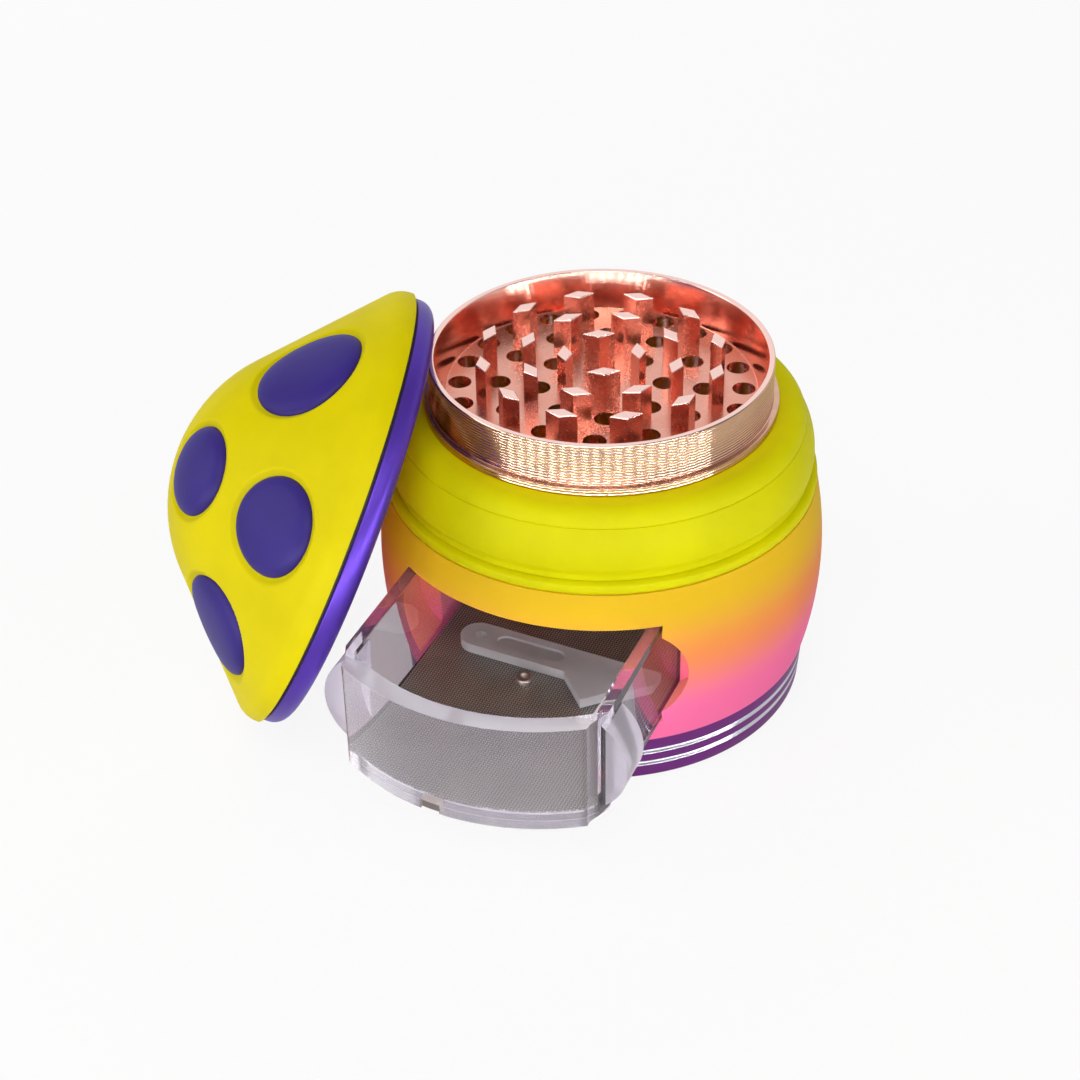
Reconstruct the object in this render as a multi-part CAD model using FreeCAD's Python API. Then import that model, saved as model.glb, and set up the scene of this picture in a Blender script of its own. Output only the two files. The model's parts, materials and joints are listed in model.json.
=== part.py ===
"""Hand grinder in the shape of a toadstool, with a pull-out drawer, shown opened up.

Lengths are millimetres. +Z is up, the origin is the centre of the base's resting face, and the drawer
opens towards -Y. The cap is off and leans on the grinding plate's rim; the drawer is pulled out.
"""
import FreeCAD, Part
import math
import os

V = FreeCAD.Vector

# Fits
SCREW_GAP = 0.05        # radial gap of a screwed or pressed joint, whose thread is a plain cylinder
RUN_GAP = 0.06          # radial gap where one piece turns in another
SLIDE_GAP = 0.25        # room round the drawer in its channel
LEAN_GAP = 0.3          # room between the leaning cap and the rim it leans on

# Base cup
FOOT_RADIUS = 29.1
BASE_FLARE = 0.6        # how much wider the cup is at its top
BASE_HEIGHT = 7.5
BASE_FLOOR = 1.6
BASE_WALL = 2.1
FOOT_BEVEL = 0.6
CUT_RING_HEIGHT = 0.8   # bright rings cut into the outside
CUT_RING_DEPTH = 0.35
CUT_RING_FIRST = 2.9
CUT_RING_PITCH = 2.15
SEAL_SECTION = 1.0      # both sealing rings
SEAL_DROP = 1.6         # below the joint that the ring seals

# Barrel
BARREL_FOOT_RADIUS = 29.85
BARREL_RADIUS = 31.5
BARREL_TOP_RADIUS = 30.2
BARREL_WIDEST = 14.0    # height of the widest place above the barrel's foot
BARREL_FLOOR = 3.6
CEILING = 1.8           # web over the drawer channel
FOOT_SPIGOT = 4.0       # screwed part that goes down into the base
SPIGOT_WALL = 2.2
CHUTE_RADIUS = 16.2

# Drawer, in its closed place
DRAWER_HALF_WIDTH = 18.3
DRAWER_HEIGHT = 16.2
DRAWER_BACK = 16.0
DRAWER_WALL = 1.65
FRONT_WALL = 2.7
FRONT_INSET = 0.3       # front face inside the barrel's widest radius
CORNER_WIDTH = 1.3      # slanted corner beside the front
CORNER_DEPTH = 3.0
EAR_REACH = 3.1         # half-round ears at the sides of the front
EAR_SETBACK = 7.7       # ear face behind the front's foremost point
EAR_DEPTH = 5.7
DRAWER_OUT = 21.4       # how far the drawer is pulled out
MESH_THICKNESS = 0.25
FRAME_HEIGHT = 1.4
FRAME_BORDER = 2.2
NOTCH_X = -2.9
NOTCH_WIDTH = 2.6
TAB_INSET = 0.4
RIVET_X = -1.4
RIVET_Y = -3.9
RIVET_HEAD_RADIUS = 1.25
RIVET_HEAD_HEIGHT = 0.7
RIVET_SHANK_RADIUS = 0.6
STOP_PIN_RADIUS = 1.0
STOP_PIN_Y = -22.0
STOP_PIN_DIP = 2.0      # how far the pin hangs below the channel's ceiling
CATCH_RADIUS = 2.0      # pair of magnets that hold the drawer shut
CATCH_DEPTH = 1.1

# Scraper that lies on the mesh
SCRAPER_THICKNESS = 1.5
SCRAPER_NOSE_X = -13.1
SCRAPER_Y = 1.55        # handle's middle line, drawer closed
SCRAPER_HANDLE = 17.0
SCRAPER_WIDTH = 5.2
SCRAPER_BLADE = 11.0
SCRAPER_FLARE = 4.6
SCRAPER_TURN = -3.0
SCRAPER_EYE_RADIUS = 0.8
SCRAPER_EYE_X = 2.9     # behind the nose
SCRAPER_GROOVE = 0.4    # depth of the long panel in the handle
SCRAPER_REST = 0.1      # how high it lies above the mesh

# Collar
COLLAR_SPIGOT_RADIUS = 27.0
COLLAR_SPIGOT = 3.2
LIP_HEIGHT = 1.4
LIP_GROOVE = 0.3
BULGE_HEIGHT = 7.5
SHOULDER_HEIGHT = 2.3
BULGE_FOOT_RADIUS = 29.2
BULGE_RADIUS = 29.6
CREASE_RADIUS = 28.36
LEDGE_RADIUS = 25.8

# Grinding plate
RIM_RADIUS = 23.6
RIM_LIP = 0.8
RIM_HEIGHT = 6.0
FLANGE_RADIUS = 24.4
FLANGE_HEIGHT = 1.3
DISH_DEPTH = 5.3
DISH_FLOOR_RADIUS = 21.4
PLATE_THICKNESS = 2.0
PLATE_SPIGOT_RADIUS = 22.8
PLATE_SPIGOT = 4.5
PLATE_TURN = 3.0        # how far round the plate stands when it is screwed home
TOOTH_LENGTH = 4.4
TOOTH_WIDTH = 2.1
PLATE_TEETH = ((5.0, 4, 22.5), (10.6, 8, 0.0), (16.3, 12, 0.0))       # ring radius, count, first angle
PLATE_HOLES = ((8.6, 8, 22.5), (14.1, 12, 15.0), (19.5, 22, 8.0))
HOLE_RADIUS = 1.6
MAGNET_RADIUS = 3.0
MAGNET_HEIGHT = 1.1

# Cap, in its own frame: z 0 is the mouth and +z points to the top
CAP_RIM_RADIUS = 31.2
CAP_RIM_HEIGHT = 3.0
CAP_RIM_ROUND = 2.0
GASKET_HEIGHT = 0.4
GASKET_INSET = 0.35
CAP_RADIUS = 31.7
CAP_EDGE = 1.8          # height of the sharp corner that the edge round takes off
CAP_EDGE_ROUND = 4.0
CAP_SLOPE = 47.4        # flank's angle from the axis
CAP_TOP_RADIUS = 22.9   # ball that rounds the top
SHELL_THICKNESS = 1.6
BOND_GAP = 0.1          # adhesive between the shell and the core
BORE_GAP = 0.2          # cap's bore round the rim
CUP_WALL = 1.2
CUP_DEPTH = 6.2
CUP_TOP = 1.8
CORE_TOP = 1.8
GLIDE_HEIGHT = 1.15
GLIDE_WIDTH = 1.6
CAP_TEETH = ((7.8, 6, 0.0), (13.45, 9, 0.0), (19.2, 12, 15.0))
CAP_TOOTH_HEIGHT = 4.6
SCREW_RING = 10.6
SCREW_COUNT = 3
SCREW_RADIUS = 0.9
SCREW_HEAD_RADIUS = 1.7
SCREW_HEAD_HEIGHT = 0.9
SPOT_RISE = 0.55
SPOT_DEPTH = 0.8
SPOT_GROOVE = 0.35
# Spots: place round the axis from the uppermost side, distance from the axis, diameter
SPOTS = ((-7, 21.6, 15.6), (-68, 23.5, 13.3), (-124, 22.3, 14.6), (173, 21.6, 15.6),
         (112, 23.5, 13.3), (64, 22.3, 14.6), (-65, 9.8, 12.4), (119, 10.2, 12.4))
LEAN_HEADING = 201.25   # direction in which the leaning cap's top points, from +X towards +Y
LEAN_RISE = 23.85       # how far its axis points above level
LEAN_SIDE = 4.76        # how far its axis passes beside the grinder's

# Heights of the stack and other places that follow
CHANNEL_HEIGHT = DRAWER_HEIGHT + 2 * SLIDE_GAP
BARREL_Z = BASE_HEIGHT
CHANNEL_Z = BARREL_Z + BARREL_FLOOR
CEILING_Z = CHANNEL_Z + CHANNEL_HEIGHT
SOCKET_Z = CEILING_Z + CEILING
COLLAR_Z = SOCKET_Z + COLLAR_SPIGOT
CREASE_Z = COLLAR_Z + LIP_HEIGHT + LIP_GROOVE + BULGE_HEIGHT
PLATE_Z = CREASE_Z + SHOULDER_HEIGHT
RIM_TOP = PLATE_Z + FLANGE_HEIGHT + RIM_HEIGHT
DISH_Z = RIM_TOP - DISH_DEPTH
BASE_TOP_RADIUS = FOOT_RADIUS + BASE_FLARE
SOCKET_RADIUS = FOOT_RADIUS - BASE_WALL
SPIGOT_RADIUS = SOCKET_RADIUS - RUN_GAP
DRAWER_Z = CHANNEL_Z + SLIDE_GAP
FRONT_RADIUS = BARREL_RADIUS - FRONT_INSET
MESH_Z = DRAWER_Z + FRAME_HEIGHT
SEAM_Z = CAP_RIM_HEIGHT + GASKET_HEIGHT
BORE_RADIUS = RIM_RADIUS + BORE_GAP
CUP_RADIUS = BORE_RADIUS + CUP_WALL
GLIDE_RADIUS = BORE_RADIUS + GLIDE_WIDTH
SLOPE = math.radians(CAP_SLOPE)
FLANK_RISE = (CAP_RADIUS - CAP_TOP_RADIUS * math.cos(SLOPE)) / math.tan(SLOPE)
BALL_CENTRE = (0, SEAM_Z + CAP_EDGE + FLANK_RISE - CAP_TOP_RADIUS * math.sin(SLOPE))

CENTRE = V(0, 0, 0)
UP = V(0, 0, 1)
BIG = 4 * BARREL_RADIUS


def outline(start, *steps):
    """Closed face in the XZ plane from (radius, height) points; a step of two points is an arc."""
    def place(p):
        return V(p[0], 0, p[1])
    edges = []
    here = start
    for step in steps + (start,):
        if isinstance(step[0], tuple):
            via, there = step
            edges.append(Part.Arc(place(here), place(via), place(there)).toShape())
        else:
            there = step
            edges.append(Part.LineSegment(place(here), place(there)).toShape())
        here = there
    return Part.Face(Part.Wire(edges))


def turned(start, *steps):
    """Solid of revolution about Z of such an outline."""
    return outline(start, *steps).revolve(CENTRE, UP, 360)


def disc(radius, z0, z1, x=0.0, y=0.0):
    """Upright cylinder between two heights."""
    return Part.makeCylinder(radius, z1 - z0, V(x, y, z0))


def block(x0, x1, y0, y1, z0, z1):
    """Box between two corners."""
    return Part.makeBox(x1 - x0, y1 - y0, z1 - z0, V(x0, y0, z0))


def prism(points, z0, z1):
    """Upright prism on a polygon of (x, y) points."""
    corners = [V(x, y, z0) for x, y in points]
    return Part.Face(Part.makePolygon(corners + corners[:1])).extrude(V(0, 0, z1 - z0))


def ring(radius, section, z):
    """Round sealing ring about Z."""
    return Part.makeTorus(radius, section / 2, V(0, 0, z))


def around(rings, make):
    """One copy of make(radius) at each place of the (radius, count, first angle) rings."""
    made = []
    for radius, count, first in rings:
        for k in range(count):
            piece = make(radius)
            piece.rotate(CENTRE, UP, first + 360.0 * k / count)
            made.append(piece)
    return made


def tooth(radius, z0, z1):
    """Diamond tooth, long across the radius, starting from the -Y side."""
    half = TOOTH_LENGTH / 2
    wide = TOOTH_WIDTH / 2
    return prism([(0, -radius - wide), (half, -radius), (0, -radius + wide), (-half, -radius)], z0, z1)


def make_base_cup():
    """Purple cup that screws on below the barrel and catches the finest powder."""
    slant = (BASE_TOP_RADIUS - FOOT_RADIUS) / BASE_HEIGHT
    def side(z):
        return FOOT_RADIUS + slant * z
    wall = []
    for k in range(2):
        z = CUT_RING_FIRST + k * CUT_RING_PITCH
        low = z - CUT_RING_HEIGHT / 2
        high = z + CUT_RING_HEIGHT / 2
        wall += [(side(low), low), (side(z) - CUT_RING_DEPTH, z), (side(high), high)]
    cup = turned((0, 0), (FOOT_RADIUS - FOOT_BEVEL, 0), (side(FOOT_BEVEL), FOOT_BEVEL), *wall,
                 (BASE_TOP_RADIUS, BASE_HEIGHT), (SOCKET_RADIUS, BASE_HEIGHT),
                 (SOCKET_RADIUS, BASE_FLOOR), (0, BASE_FLOOR))
    seal_z = BASE_HEIGHT - SEAL_DROP
    half = SEAL_SECTION / 2 + RUN_GAP
    groove = disc(SPIGOT_RADIUS + SEAL_SECTION + 2 * RUN_GAP, seal_z - half, seal_z + half)
    return cup.cut(groove)


def make_base_seal():
    """Sealing ring in the base cup's groove, round the barrel's spigot."""
    return ring(SPIGOT_RADIUS + RUN_GAP + SEAL_SECTION / 2, SEAL_SECTION, BASE_HEIGHT - SEAL_DROP)


def ear_lobes(grow, y0, y1):
    """Two discs along Y whose outer parts are the drawer front's ears, grown for the scoops they fit."""
    half = DRAWER_HEIGHT / 2
    z = DRAWER_Z + half
    x = DRAWER_HALF_WIDTH + EAR_REACH - half
    lobes = [Part.makeCylinder(half + grow, y1 - y0, V(s * x, y0, z), V(0, 1, 0)) for s in (-1, 1)]
    return lobes[0].fuse(lobes[1])


def make_barrel():
    """Bulged body with the drawer's channel, a socket for the collar and a spigot for the base."""
    widest = (BARREL_RADIUS, BARREL_Z + BARREL_WIDEST)
    body = turned((0, BARREL_Z - FOOT_SPIGOT), (SPIGOT_RADIUS, BARREL_Z - FOOT_SPIGOT),
                  (SPIGOT_RADIUS, BARREL_Z), (BARREL_FOOT_RADIUS, BARREL_Z),
                  (widest, (BARREL_TOP_RADIUS, COLLAR_Z)), (0, COLLAR_Z))
    side = DRAWER_HALF_WIDTH + SLIDE_GAP
    channel = block(-side, side, -BIG, DRAWER_BACK + SLIDE_GAP, CHANNEL_Z, CEILING_Z)
    ear_back = -FRONT_RADIUS + EAR_SETBACK + EAR_DEPTH + SLIDE_GAP
    scoops = ear_lobes(SLIDE_GAP, -BIG, ear_back)
    socket = disc(COLLAR_SPIGOT_RADIUS + SCREW_GAP, SOCKET_Z, COLLAR_Z)
    chute = disc(CHUTE_RADIUS, BARREL_Z, SOCKET_Z)
    well = disc(SPIGOT_RADIUS - SPIGOT_WALL, BARREL_Z - FOOT_SPIGOT, BARREL_Z)
    pin_hole = disc(STOP_PIN_RADIUS + SCREW_GAP, CEILING_Z, SOCKET_Z, 0, STOP_PIN_Y)
    pocket = catch_disc(DRAWER_BACK + SLIDE_GAP, SCREW_GAP)
    return body.cut([channel, scoops, socket, chute, well, pin_hole, pocket])


def catch_disc(y, grow):
    """Catch magnet, or the pocket for one, whose front face is at y."""
    z = DRAWER_Z + DRAWER_HEIGHT / 2
    return Part.makeCylinder(CATCH_RADIUS + grow, CATCH_DEPTH + grow, V(0, y, z), V(0, 1, 0))


def make_stop_pin():
    """Pin under the channel's ceiling that stops the drawer's back wall."""
    return disc(STOP_PIN_RADIUS, CEILING_Z - STOP_PIN_DIP, SOCKET_Z, 0, STOP_PIN_Y)


def make_collar():
    """Yellow collar: a screwed spigot below, a stepped bulge outside and a funnel inside."""
    lip_top = COLLAR_Z + LIP_HEIGHT
    bulge_foot = lip_top + LIP_GROOVE
    bulge_mid = (BULGE_RADIUS, bulge_foot + BULGE_HEIGHT / 2)
    drop = SHOULDER_HEIGHT * (1 - math.sqrt(0.5))
    reach = (CREASE_RADIUS - LEDGE_RADIUS) * math.sqrt(0.5)
    shoulder_mid = (LEDGE_RADIUS + reach, PLATE_Z - drop)
    bore = PLATE_SPIGOT_RADIUS + SCREW_GAP
    bore_foot = PLATE_Z - PLATE_SPIGOT - SCREW_GAP
    funnel_top = PLATE_SPIGOT_RADIUS - SPIGOT_WALL
    spigot_foot = SOCKET_Z + SCREW_GAP
    body = turned((CHUTE_RADIUS, spigot_foot), (COLLAR_SPIGOT_RADIUS, spigot_foot),
                  (COLLAR_SPIGOT_RADIUS, COLLAR_Z), (BARREL_TOP_RADIUS, COLLAR_Z),
                  (BARREL_TOP_RADIUS, lip_top), (BULGE_FOOT_RADIUS, lip_top),
                  (BULGE_FOOT_RADIUS, bulge_foot), (bulge_mid, (CREASE_RADIUS, CREASE_Z)),
                  (shoulder_mid, (LEDGE_RADIUS, PLATE_Z)), (bore, PLATE_Z), (bore, bore_foot),
                  (funnel_top, bore_foot))
    seal_z = COLLAR_Z - SEAL_DROP
    half = SEAL_SECTION / 2 + SCREW_GAP
    groove = disc(COLLAR_SPIGOT_RADIUS, seal_z - half, seal_z + half)
    land = disc(COLLAR_SPIGOT_RADIUS - SEAL_SECTION - SCREW_GAP, seal_z - half, seal_z + half)
    return body.cut(groove.cut(land))


def make_collar_seal():
    """Sealing ring in the collar's groove, against the barrel's socket."""
    return ring(COLLAR_SPIGOT_RADIUS - SEAL_SECTION / 2, SEAL_SECTION, COLLAR_Z - SEAL_DROP)


def make_plate_rim():
    """Copper wall of the grinding plate: rim, flange, and a screwed spigot with a ledge for the floor."""
    inner = PLATE_SPIGOT_RADIUS - SPIGOT_WALL
    foot = PLATE_Z - PLATE_SPIGOT
    under = DISH_Z - PLATE_THICKNESS
    flange_top = PLATE_Z + FLANGE_HEIGHT
    return turned((inner, foot), (PLATE_SPIGOT_RADIUS, foot), (PLATE_SPIGOT_RADIUS, PLATE_Z),
                  (FLANGE_RADIUS, PLATE_Z), (FLANGE_RADIUS, flange_top), (RIM_RADIUS, flange_top),
                  (RIM_RADIUS, RIM_TOP), (RIM_RADIUS - RIM_LIP, RIM_TOP), (DISH_FLOOR_RADIUS, DISH_Z),
                  (DISH_FLOOR_RADIUS, under), (inner, under))


def make_plate_floor():
    """Copper floor of the grinding plate with its drop holes, on the wall's ledge."""
    under = DISH_Z - PLATE_THICKNESS
    holes = around(PLATE_HOLES, lambda radius: disc(HOLE_RADIUS, under, DISH_Z, 0, -radius))
    pocket = disc(MAGNET_RADIUS + SCREW_GAP, under, under + MAGNET_HEIGHT)
    floor = disc(DISH_FLOOR_RADIUS - SCREW_GAP, under, DISH_Z).cut(holes + [pocket])
    floor.rotate(CENTRE, UP, PLATE_TURN)
    return floor


def make_plate_teeth():
    """Diamond teeth that stand on the floor, as one group."""
    teeth = Part.makeCompound(around(PLATE_TEETH, lambda radius: tooth(radius, DISH_Z, RIM_TOP)))
    teeth.rotate(CENTRE, UP, PLATE_TURN)
    return teeth


def make_plate_magnet():
    """Magnet pressed into the underside of the plate's floor."""
    under = DISH_Z - PLATE_THICKNESS
    return disc(MAGNET_RADIUS, under, under + MAGNET_HEIGHT)


def outer_plan():
    """Outside of the drawer as a full block: straight sides and back, round front, slanted corners."""
    x = DRAWER_HALF_WIDTH
    corner_x = x - CORNER_WIDTH
    corner_y = -math.sqrt(FRONT_RADIUS ** 2 - x ** 2)
    side_y = corner_y + CORNER_DEPTH
    top = DRAWER_Z + DRAWER_HEIGHT
    plan = prism([(-x, DRAWER_BACK), (-x, side_y), (-corner_x, corner_y), (-corner_x, -BIG),
                  (corner_x, -BIG), (corner_x, corner_y), (x, side_y), (x, DRAWER_BACK)], DRAWER_Z, top)
    return plan.common(disc(FRONT_RADIUS, DRAWER_Z, top))


def inner_plan(grow, z0, z1):
    """Inside of the drawer's walls between two heights, changed in size by a gap."""
    x = DRAWER_HALF_WIDTH - DRAWER_WALL + grow
    back = DRAWER_BACK - DRAWER_WALL + grow
    return block(-x, x, -BIG, back, z0, z1).common(disc(FRONT_RADIUS - FRONT_WALL + grow, z0, z1))


def notch(grow, inset):
    """Slot through the foot of the front wall, or the tab that fills it."""
    half = NOTCH_WIDTH / 2 + grow
    slot = block(NOTCH_X - half, NOTCH_X + half, -BIG, -FRONT_RADIUS / 2, DRAWER_Z, MESH_Z + grow)
    return slot.common(disc(FRONT_RADIUS - inset, DRAWER_Z, MESH_Z + grow))


def make_drawer_box():
    """Clear drawer: four walls with no floor, a round front with half-round ears, and a tab slot."""
    box = outer_plan()
    face = -FRONT_RADIUS + EAR_SETBACK
    box = box.fuse(ear_lobes(0, face, face + EAR_DEPTH))
    top = DRAWER_Z + DRAWER_HEIGHT
    pocket = catch_disc(DRAWER_BACK - CATCH_DEPTH - SCREW_GAP, SCREW_GAP)
    box = box.cut([inner_plan(0, DRAWER_Z, top), notch(SCREW_GAP, 0), pocket])
    return pulled_out(box.removeSplitter())


def pulled_out(shape):
    """The shape moved from the drawer's closed place to where the drawer stands."""
    shape.translate(V(0, -DRAWER_OUT, 0))
    return shape


def make_mesh_frame():
    """Clear frame under the mesh, let into the drawer's foot, with a tab in the front wall."""
    frame = inner_plan(-SCREW_GAP, DRAWER_Z, MESH_Z)
    frame = frame.fuse(notch(0, TAB_INSET)).cut(inner_plan(-FRAME_BORDER, DRAWER_Z, MESH_Z))
    return pulled_out(frame.removeSplitter())


def make_mesh_screen():
    """Fine woven screen that is the drawer's floor, as one thin sheet."""
    sheet = inner_plan(-SCREW_GAP, MESH_Z, MESH_Z + MESH_THICKNESS)
    hole = disc(RIVET_SHANK_RADIUS + SCREW_GAP, MESH_Z, MESH_Z + MESH_THICKNESS, RIVET_X, RIVET_Y)
    return pulled_out(sheet.cut(hole))


def make_mesh_rivet():
    """Domed rivet through the screen, closed over a flat head below."""
    top = MESH_Z + MESH_THICKNESS
    under = MESH_Z - RIVET_HEAD_HEIGHT / 2
    ball = (RIVET_HEAD_RADIUS ** 2 + RIVET_HEAD_HEIGHT ** 2) / (2 * RIVET_HEAD_HEIGHT)
    crown = Part.makeSphere(ball, V(0, 0, top + RIVET_HEAD_HEIGHT - ball))
    head = disc(RIVET_HEAD_RADIUS, top, top + RIVET_HEAD_HEIGHT).common(crown)
    rivet = disc(RIVET_HEAD_RADIUS, under, MESH_Z).fuse([disc(RIVET_SHANK_RADIUS, under, top), head])
    rivet = rivet.removeSplitter()
    rivet.translate(V(RIVET_X, RIVET_Y, 0))
    return pulled_out(rivet)


def make_scraper():
    """Small flat scraper: a handle with a round nose and an eye, and a slanted blade."""
    z0 = MESH_Z + MESH_THICKNESS + SCRAPER_REST
    z1 = z0 + SCRAPER_THICKNESS
    half = SCRAPER_WIDTH / 2
    blade_end = SCRAPER_HANDLE + SCRAPER_BLADE
    tip = (SCRAPER_HANDLE + SCRAPER_FLARE, -half - SCRAPER_FLARE)
    heel = (blade_end, -half + SCRAPER_FLARE / 2)
    body = prism([(half, -half), (SCRAPER_HANDLE, -half), tip, heel, (blade_end, half), (half, half)], z0, z1)
    body = body.fuse(disc(half, z0, z1, half, 0))
    eye = disc(SCRAPER_EYE_RADIUS, z0, z1, SCRAPER_EYE_X, 0)
    panel_start = SCRAPER_EYE_X + half
    panel = block(panel_start, SCRAPER_HANDLE - half / 2, -half / 2, half / 2, z1 - SCRAPER_GROOVE, z1)
    scraper = body.cut([eye, panel]).removeSplitter()
    scraper.rotate(CENTRE, UP, SCRAPER_TURN)
    scraper.translate(V(SCRAPER_NOSE_X, SCRAPER_Y, 0))
    return pulled_out(scraper)


def flank_height(radius):
    """Height of the cap's straight flank at a distance from the axis."""
    return SEAM_Z + CAP_EDGE + (CAP_RADIUS - radius) / math.tan(SLOPE)


def polar(centre, radius, angle):
    """Point of an outline at a distance and an angle from a centre."""
    return (centre[0] + radius * math.cos(angle), centre[1] + radius * math.sin(angle))


def cap_solid(offset, z0=SEAM_Z):
    """Solid cap above z0, that far outside the shell's surface: round edge, straight flank, round top."""
    edge_round = CAP_EDGE_ROUND + offset
    edge_centre = (CAP_RADIUS - CAP_EDGE_ROUND, SEAM_Z + CAP_EDGE - CAP_EDGE_ROUND * math.tan(SLOPE / 2))
    ball = CAP_TOP_RADIUS + offset
    top_mid = (SLOPE + math.pi / 2) / 2
    return turned((0, z0), (CAP_RADIUS + offset, z0), (CAP_RADIUS + offset, edge_centre[1]),
                  (polar(edge_centre, edge_round, SLOPE / 2), polar(edge_centre, edge_round, SLOPE)),
                  polar(BALL_CENTRE, ball, SLOPE),
                  (polar(BALL_CENTRE, ball, top_mid), polar(BALL_CENTRE, ball, math.pi / 2)))


def spot_frame(spot):
    """Foot point on the shell's surface and outward direction of a spot."""
    angle, radius, _ = spot
    if radius > CAP_TOP_RADIUS * math.cos(SLOPE):
        rise = SLOPE
        z = flank_height(radius)
    else:
        rise = math.acos(radius / CAP_TOP_RADIUS)
        z = BALL_CENTRE[1] + CAP_TOP_RADIUS * math.sin(rise)
    a = math.radians(angle)
    point = V(radius * math.cos(a), radius * math.sin(a), z)
    out = V(math.cos(rise) * math.cos(a), math.cos(rise) * math.sin(a), math.sin(rise))
    return point, out


def spot_plug(spot, grow):
    """Round plug through the shell at a spot."""
    point, out = spot_frame(spot)
    radius = spot[2] / 2
    return Part.makeCylinder(radius + grow, 2 * radius, point - out * radius, out)


def make_cap_shell():
    """Matte shell of the cap, with a shallow round seat for each spot."""
    shell = cap_solid(0).cut(cap_solid(-SHELL_THICKNESS))
    skin = cap_solid(SPOT_RISE).cut(cap_solid(-SPOT_DEPTH))
    seats = [spot_plug(spot, SPOT_GROOVE).common(skin) for spot in SPOTS]
    return shell.cut(seats)


def make_cap_spot(spot):
    """Raised round pad in its seat."""
    skin = cap_solid(SPOT_RISE).cut(cap_solid(-SPOT_DEPTH))
    return spot_plug(spot, 0).common(skin)


def make_cap_core():
    """Purple rim and inner body of the cap, which holds the tooth cup and carries the shell."""
    edge = CAP_RIM_RADIUS - CAP_RIM_ROUND
    bend = CAP_RIM_ROUND * math.sqrt(0.5)
    rim = turned((0, 0), (edge, 0), ((edge + bend, CAP_RIM_ROUND - bend), (CAP_RIM_RADIUS, CAP_RIM_ROUND)),
                 (CAP_RIM_RADIUS, CAP_RIM_HEIGHT), (0, CAP_RIM_HEIGHT))
    core_top = CUP_DEPTH + CUP_TOP + CORE_TOP
    neck = cap_solid(-SHELL_THICKNESS - BOND_GAP, CAP_RIM_HEIGHT / 2)
    neck = neck.common(disc(BIG, CAP_RIM_HEIGHT / 2, core_top))
    cup_seat = disc(CUP_RADIUS + SCREW_GAP, 0, CUP_DEPTH + CUP_TOP)
    glide_seat = disc(GLIDE_RADIUS + RUN_GAP, 0, GLIDE_HEIGHT + RUN_GAP)
    screw_holes = around(((SCREW_RING, SCREW_COUNT, 0),),
                         lambda radius: disc(SCREW_RADIUS + SCREW_GAP, CUP_DEPTH, core_top, 0, -radius))
    return rim.fuse(neck).cut([cup_seat, glide_seat] + screw_holes).removeSplitter()


def make_seam_gasket():
    """Thin black gasket between the rim and the shell."""
    inner = CAP_RADIUS - SHELL_THICKNESS
    outer = disc(CAP_RIM_RADIUS - GASKET_INSET, CAP_RIM_HEIGHT, SEAM_Z)
    return outer.cut(disc(inner - BOND_GAP / 2, CAP_RIM_HEIGHT, SEAM_Z))


def make_tooth_cup():
    """Copper cup in the cap's mouth, with its own rings of diamond teeth."""
    roof = CUP_DEPTH + CUP_TOP
    floor = GLIDE_HEIGHT + RUN_GAP
    cup = disc(CUP_RADIUS, floor, roof).cut(disc(BORE_RADIUS, floor, CUP_DEPTH))
    sunk = CUP_DEPTH + CUP_TOP / 4
    teeth = around(CAP_TEETH, lambda radius: tooth(radius, CUP_DEPTH - CAP_TOOTH_HEIGHT, sunk))
    seats = around(((SCREW_RING, SCREW_COUNT, 0),), lambda radius: screw(radius, SCREW_GAP))
    pocket = disc(MAGNET_RADIUS + SCREW_GAP, roof - MAGNET_HEIGHT, roof)
    return cup.fuse(teeth).cut(seats + [pocket]).removeSplitter()


def screw(radius, grow):
    """Countersunk screw from the cup's roof up into the core, or its seat."""
    top = CUP_DEPTH + CUP_TOP + CORE_TOP - SCREW_GAP
    neck_z = CUP_DEPTH + SCREW_HEAD_HEIGHT
    body = turned((0, CUP_DEPTH), (SCREW_HEAD_RADIUS + grow, CUP_DEPTH), (SCREW_RADIUS + grow, neck_z),
                  (SCREW_RADIUS + grow, top), (0, top))
    body.translate(V(0, -radius, 0))
    return body


def make_cap_screws():
    """Screws that hold the tooth cup in the core, as one group."""
    return Part.makeCompound(around(((SCREW_RING, SCREW_COUNT, 0),), lambda radius: screw(radius, 0)))


def make_cap_magnet():
    """Magnet above the tooth cup, which draws the cap on to the plate."""
    roof = CUP_DEPTH + CUP_TOP
    return disc(MAGNET_RADIUS, roof - MAGNET_HEIGHT, roof)


def make_glide_ring():
    """Plastic ring in the cap's mouth that rides on the plate's flange."""
    return disc(GLIDE_RADIUS, 0, GLIDE_HEIGHT).cut(disc(BORE_RADIUS, 0, GLIDE_HEIGHT))


def lean():
    """Placement of the cap: its rim stands on the ground and its mouth leans on the plate's rim."""
    heading = math.radians(LEAN_HEADING)
    rise = math.radians(LEAN_RISE)
    away = V(math.cos(heading), math.sin(heading), 0)
    beside = V(-math.sin(heading), math.cos(heading), 0)
    axis = away * math.cos(rise) + UP * math.sin(rise)
    uphill = UP * math.cos(rise) - away * math.sin(rise)
    reach = (CAP_RIM_RADIUS - CAP_RIM_ROUND) * math.cos(rise)
    height = reach - CAP_RIM_ROUND * math.sin(rise) + CAP_RIM_ROUND
    out = RIM_RADIUS + ((RIM_TOP - height) * math.sin(rise) + LEAN_GAP) / math.cos(rise)
    where = away * out + beside * LEAN_SIDE + UP * height
    return FreeCAD.Placement(where, FreeCAD.Rotation(uphill, axis.cross(uphill), axis, "ZXY"))


def leaning(shape):
    """The shape taken from the cap's own frame to where the cap leans."""
    moved = shape.copy()
    moved.Placement = lean().multiply(moved.Placement)
    return moved


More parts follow.
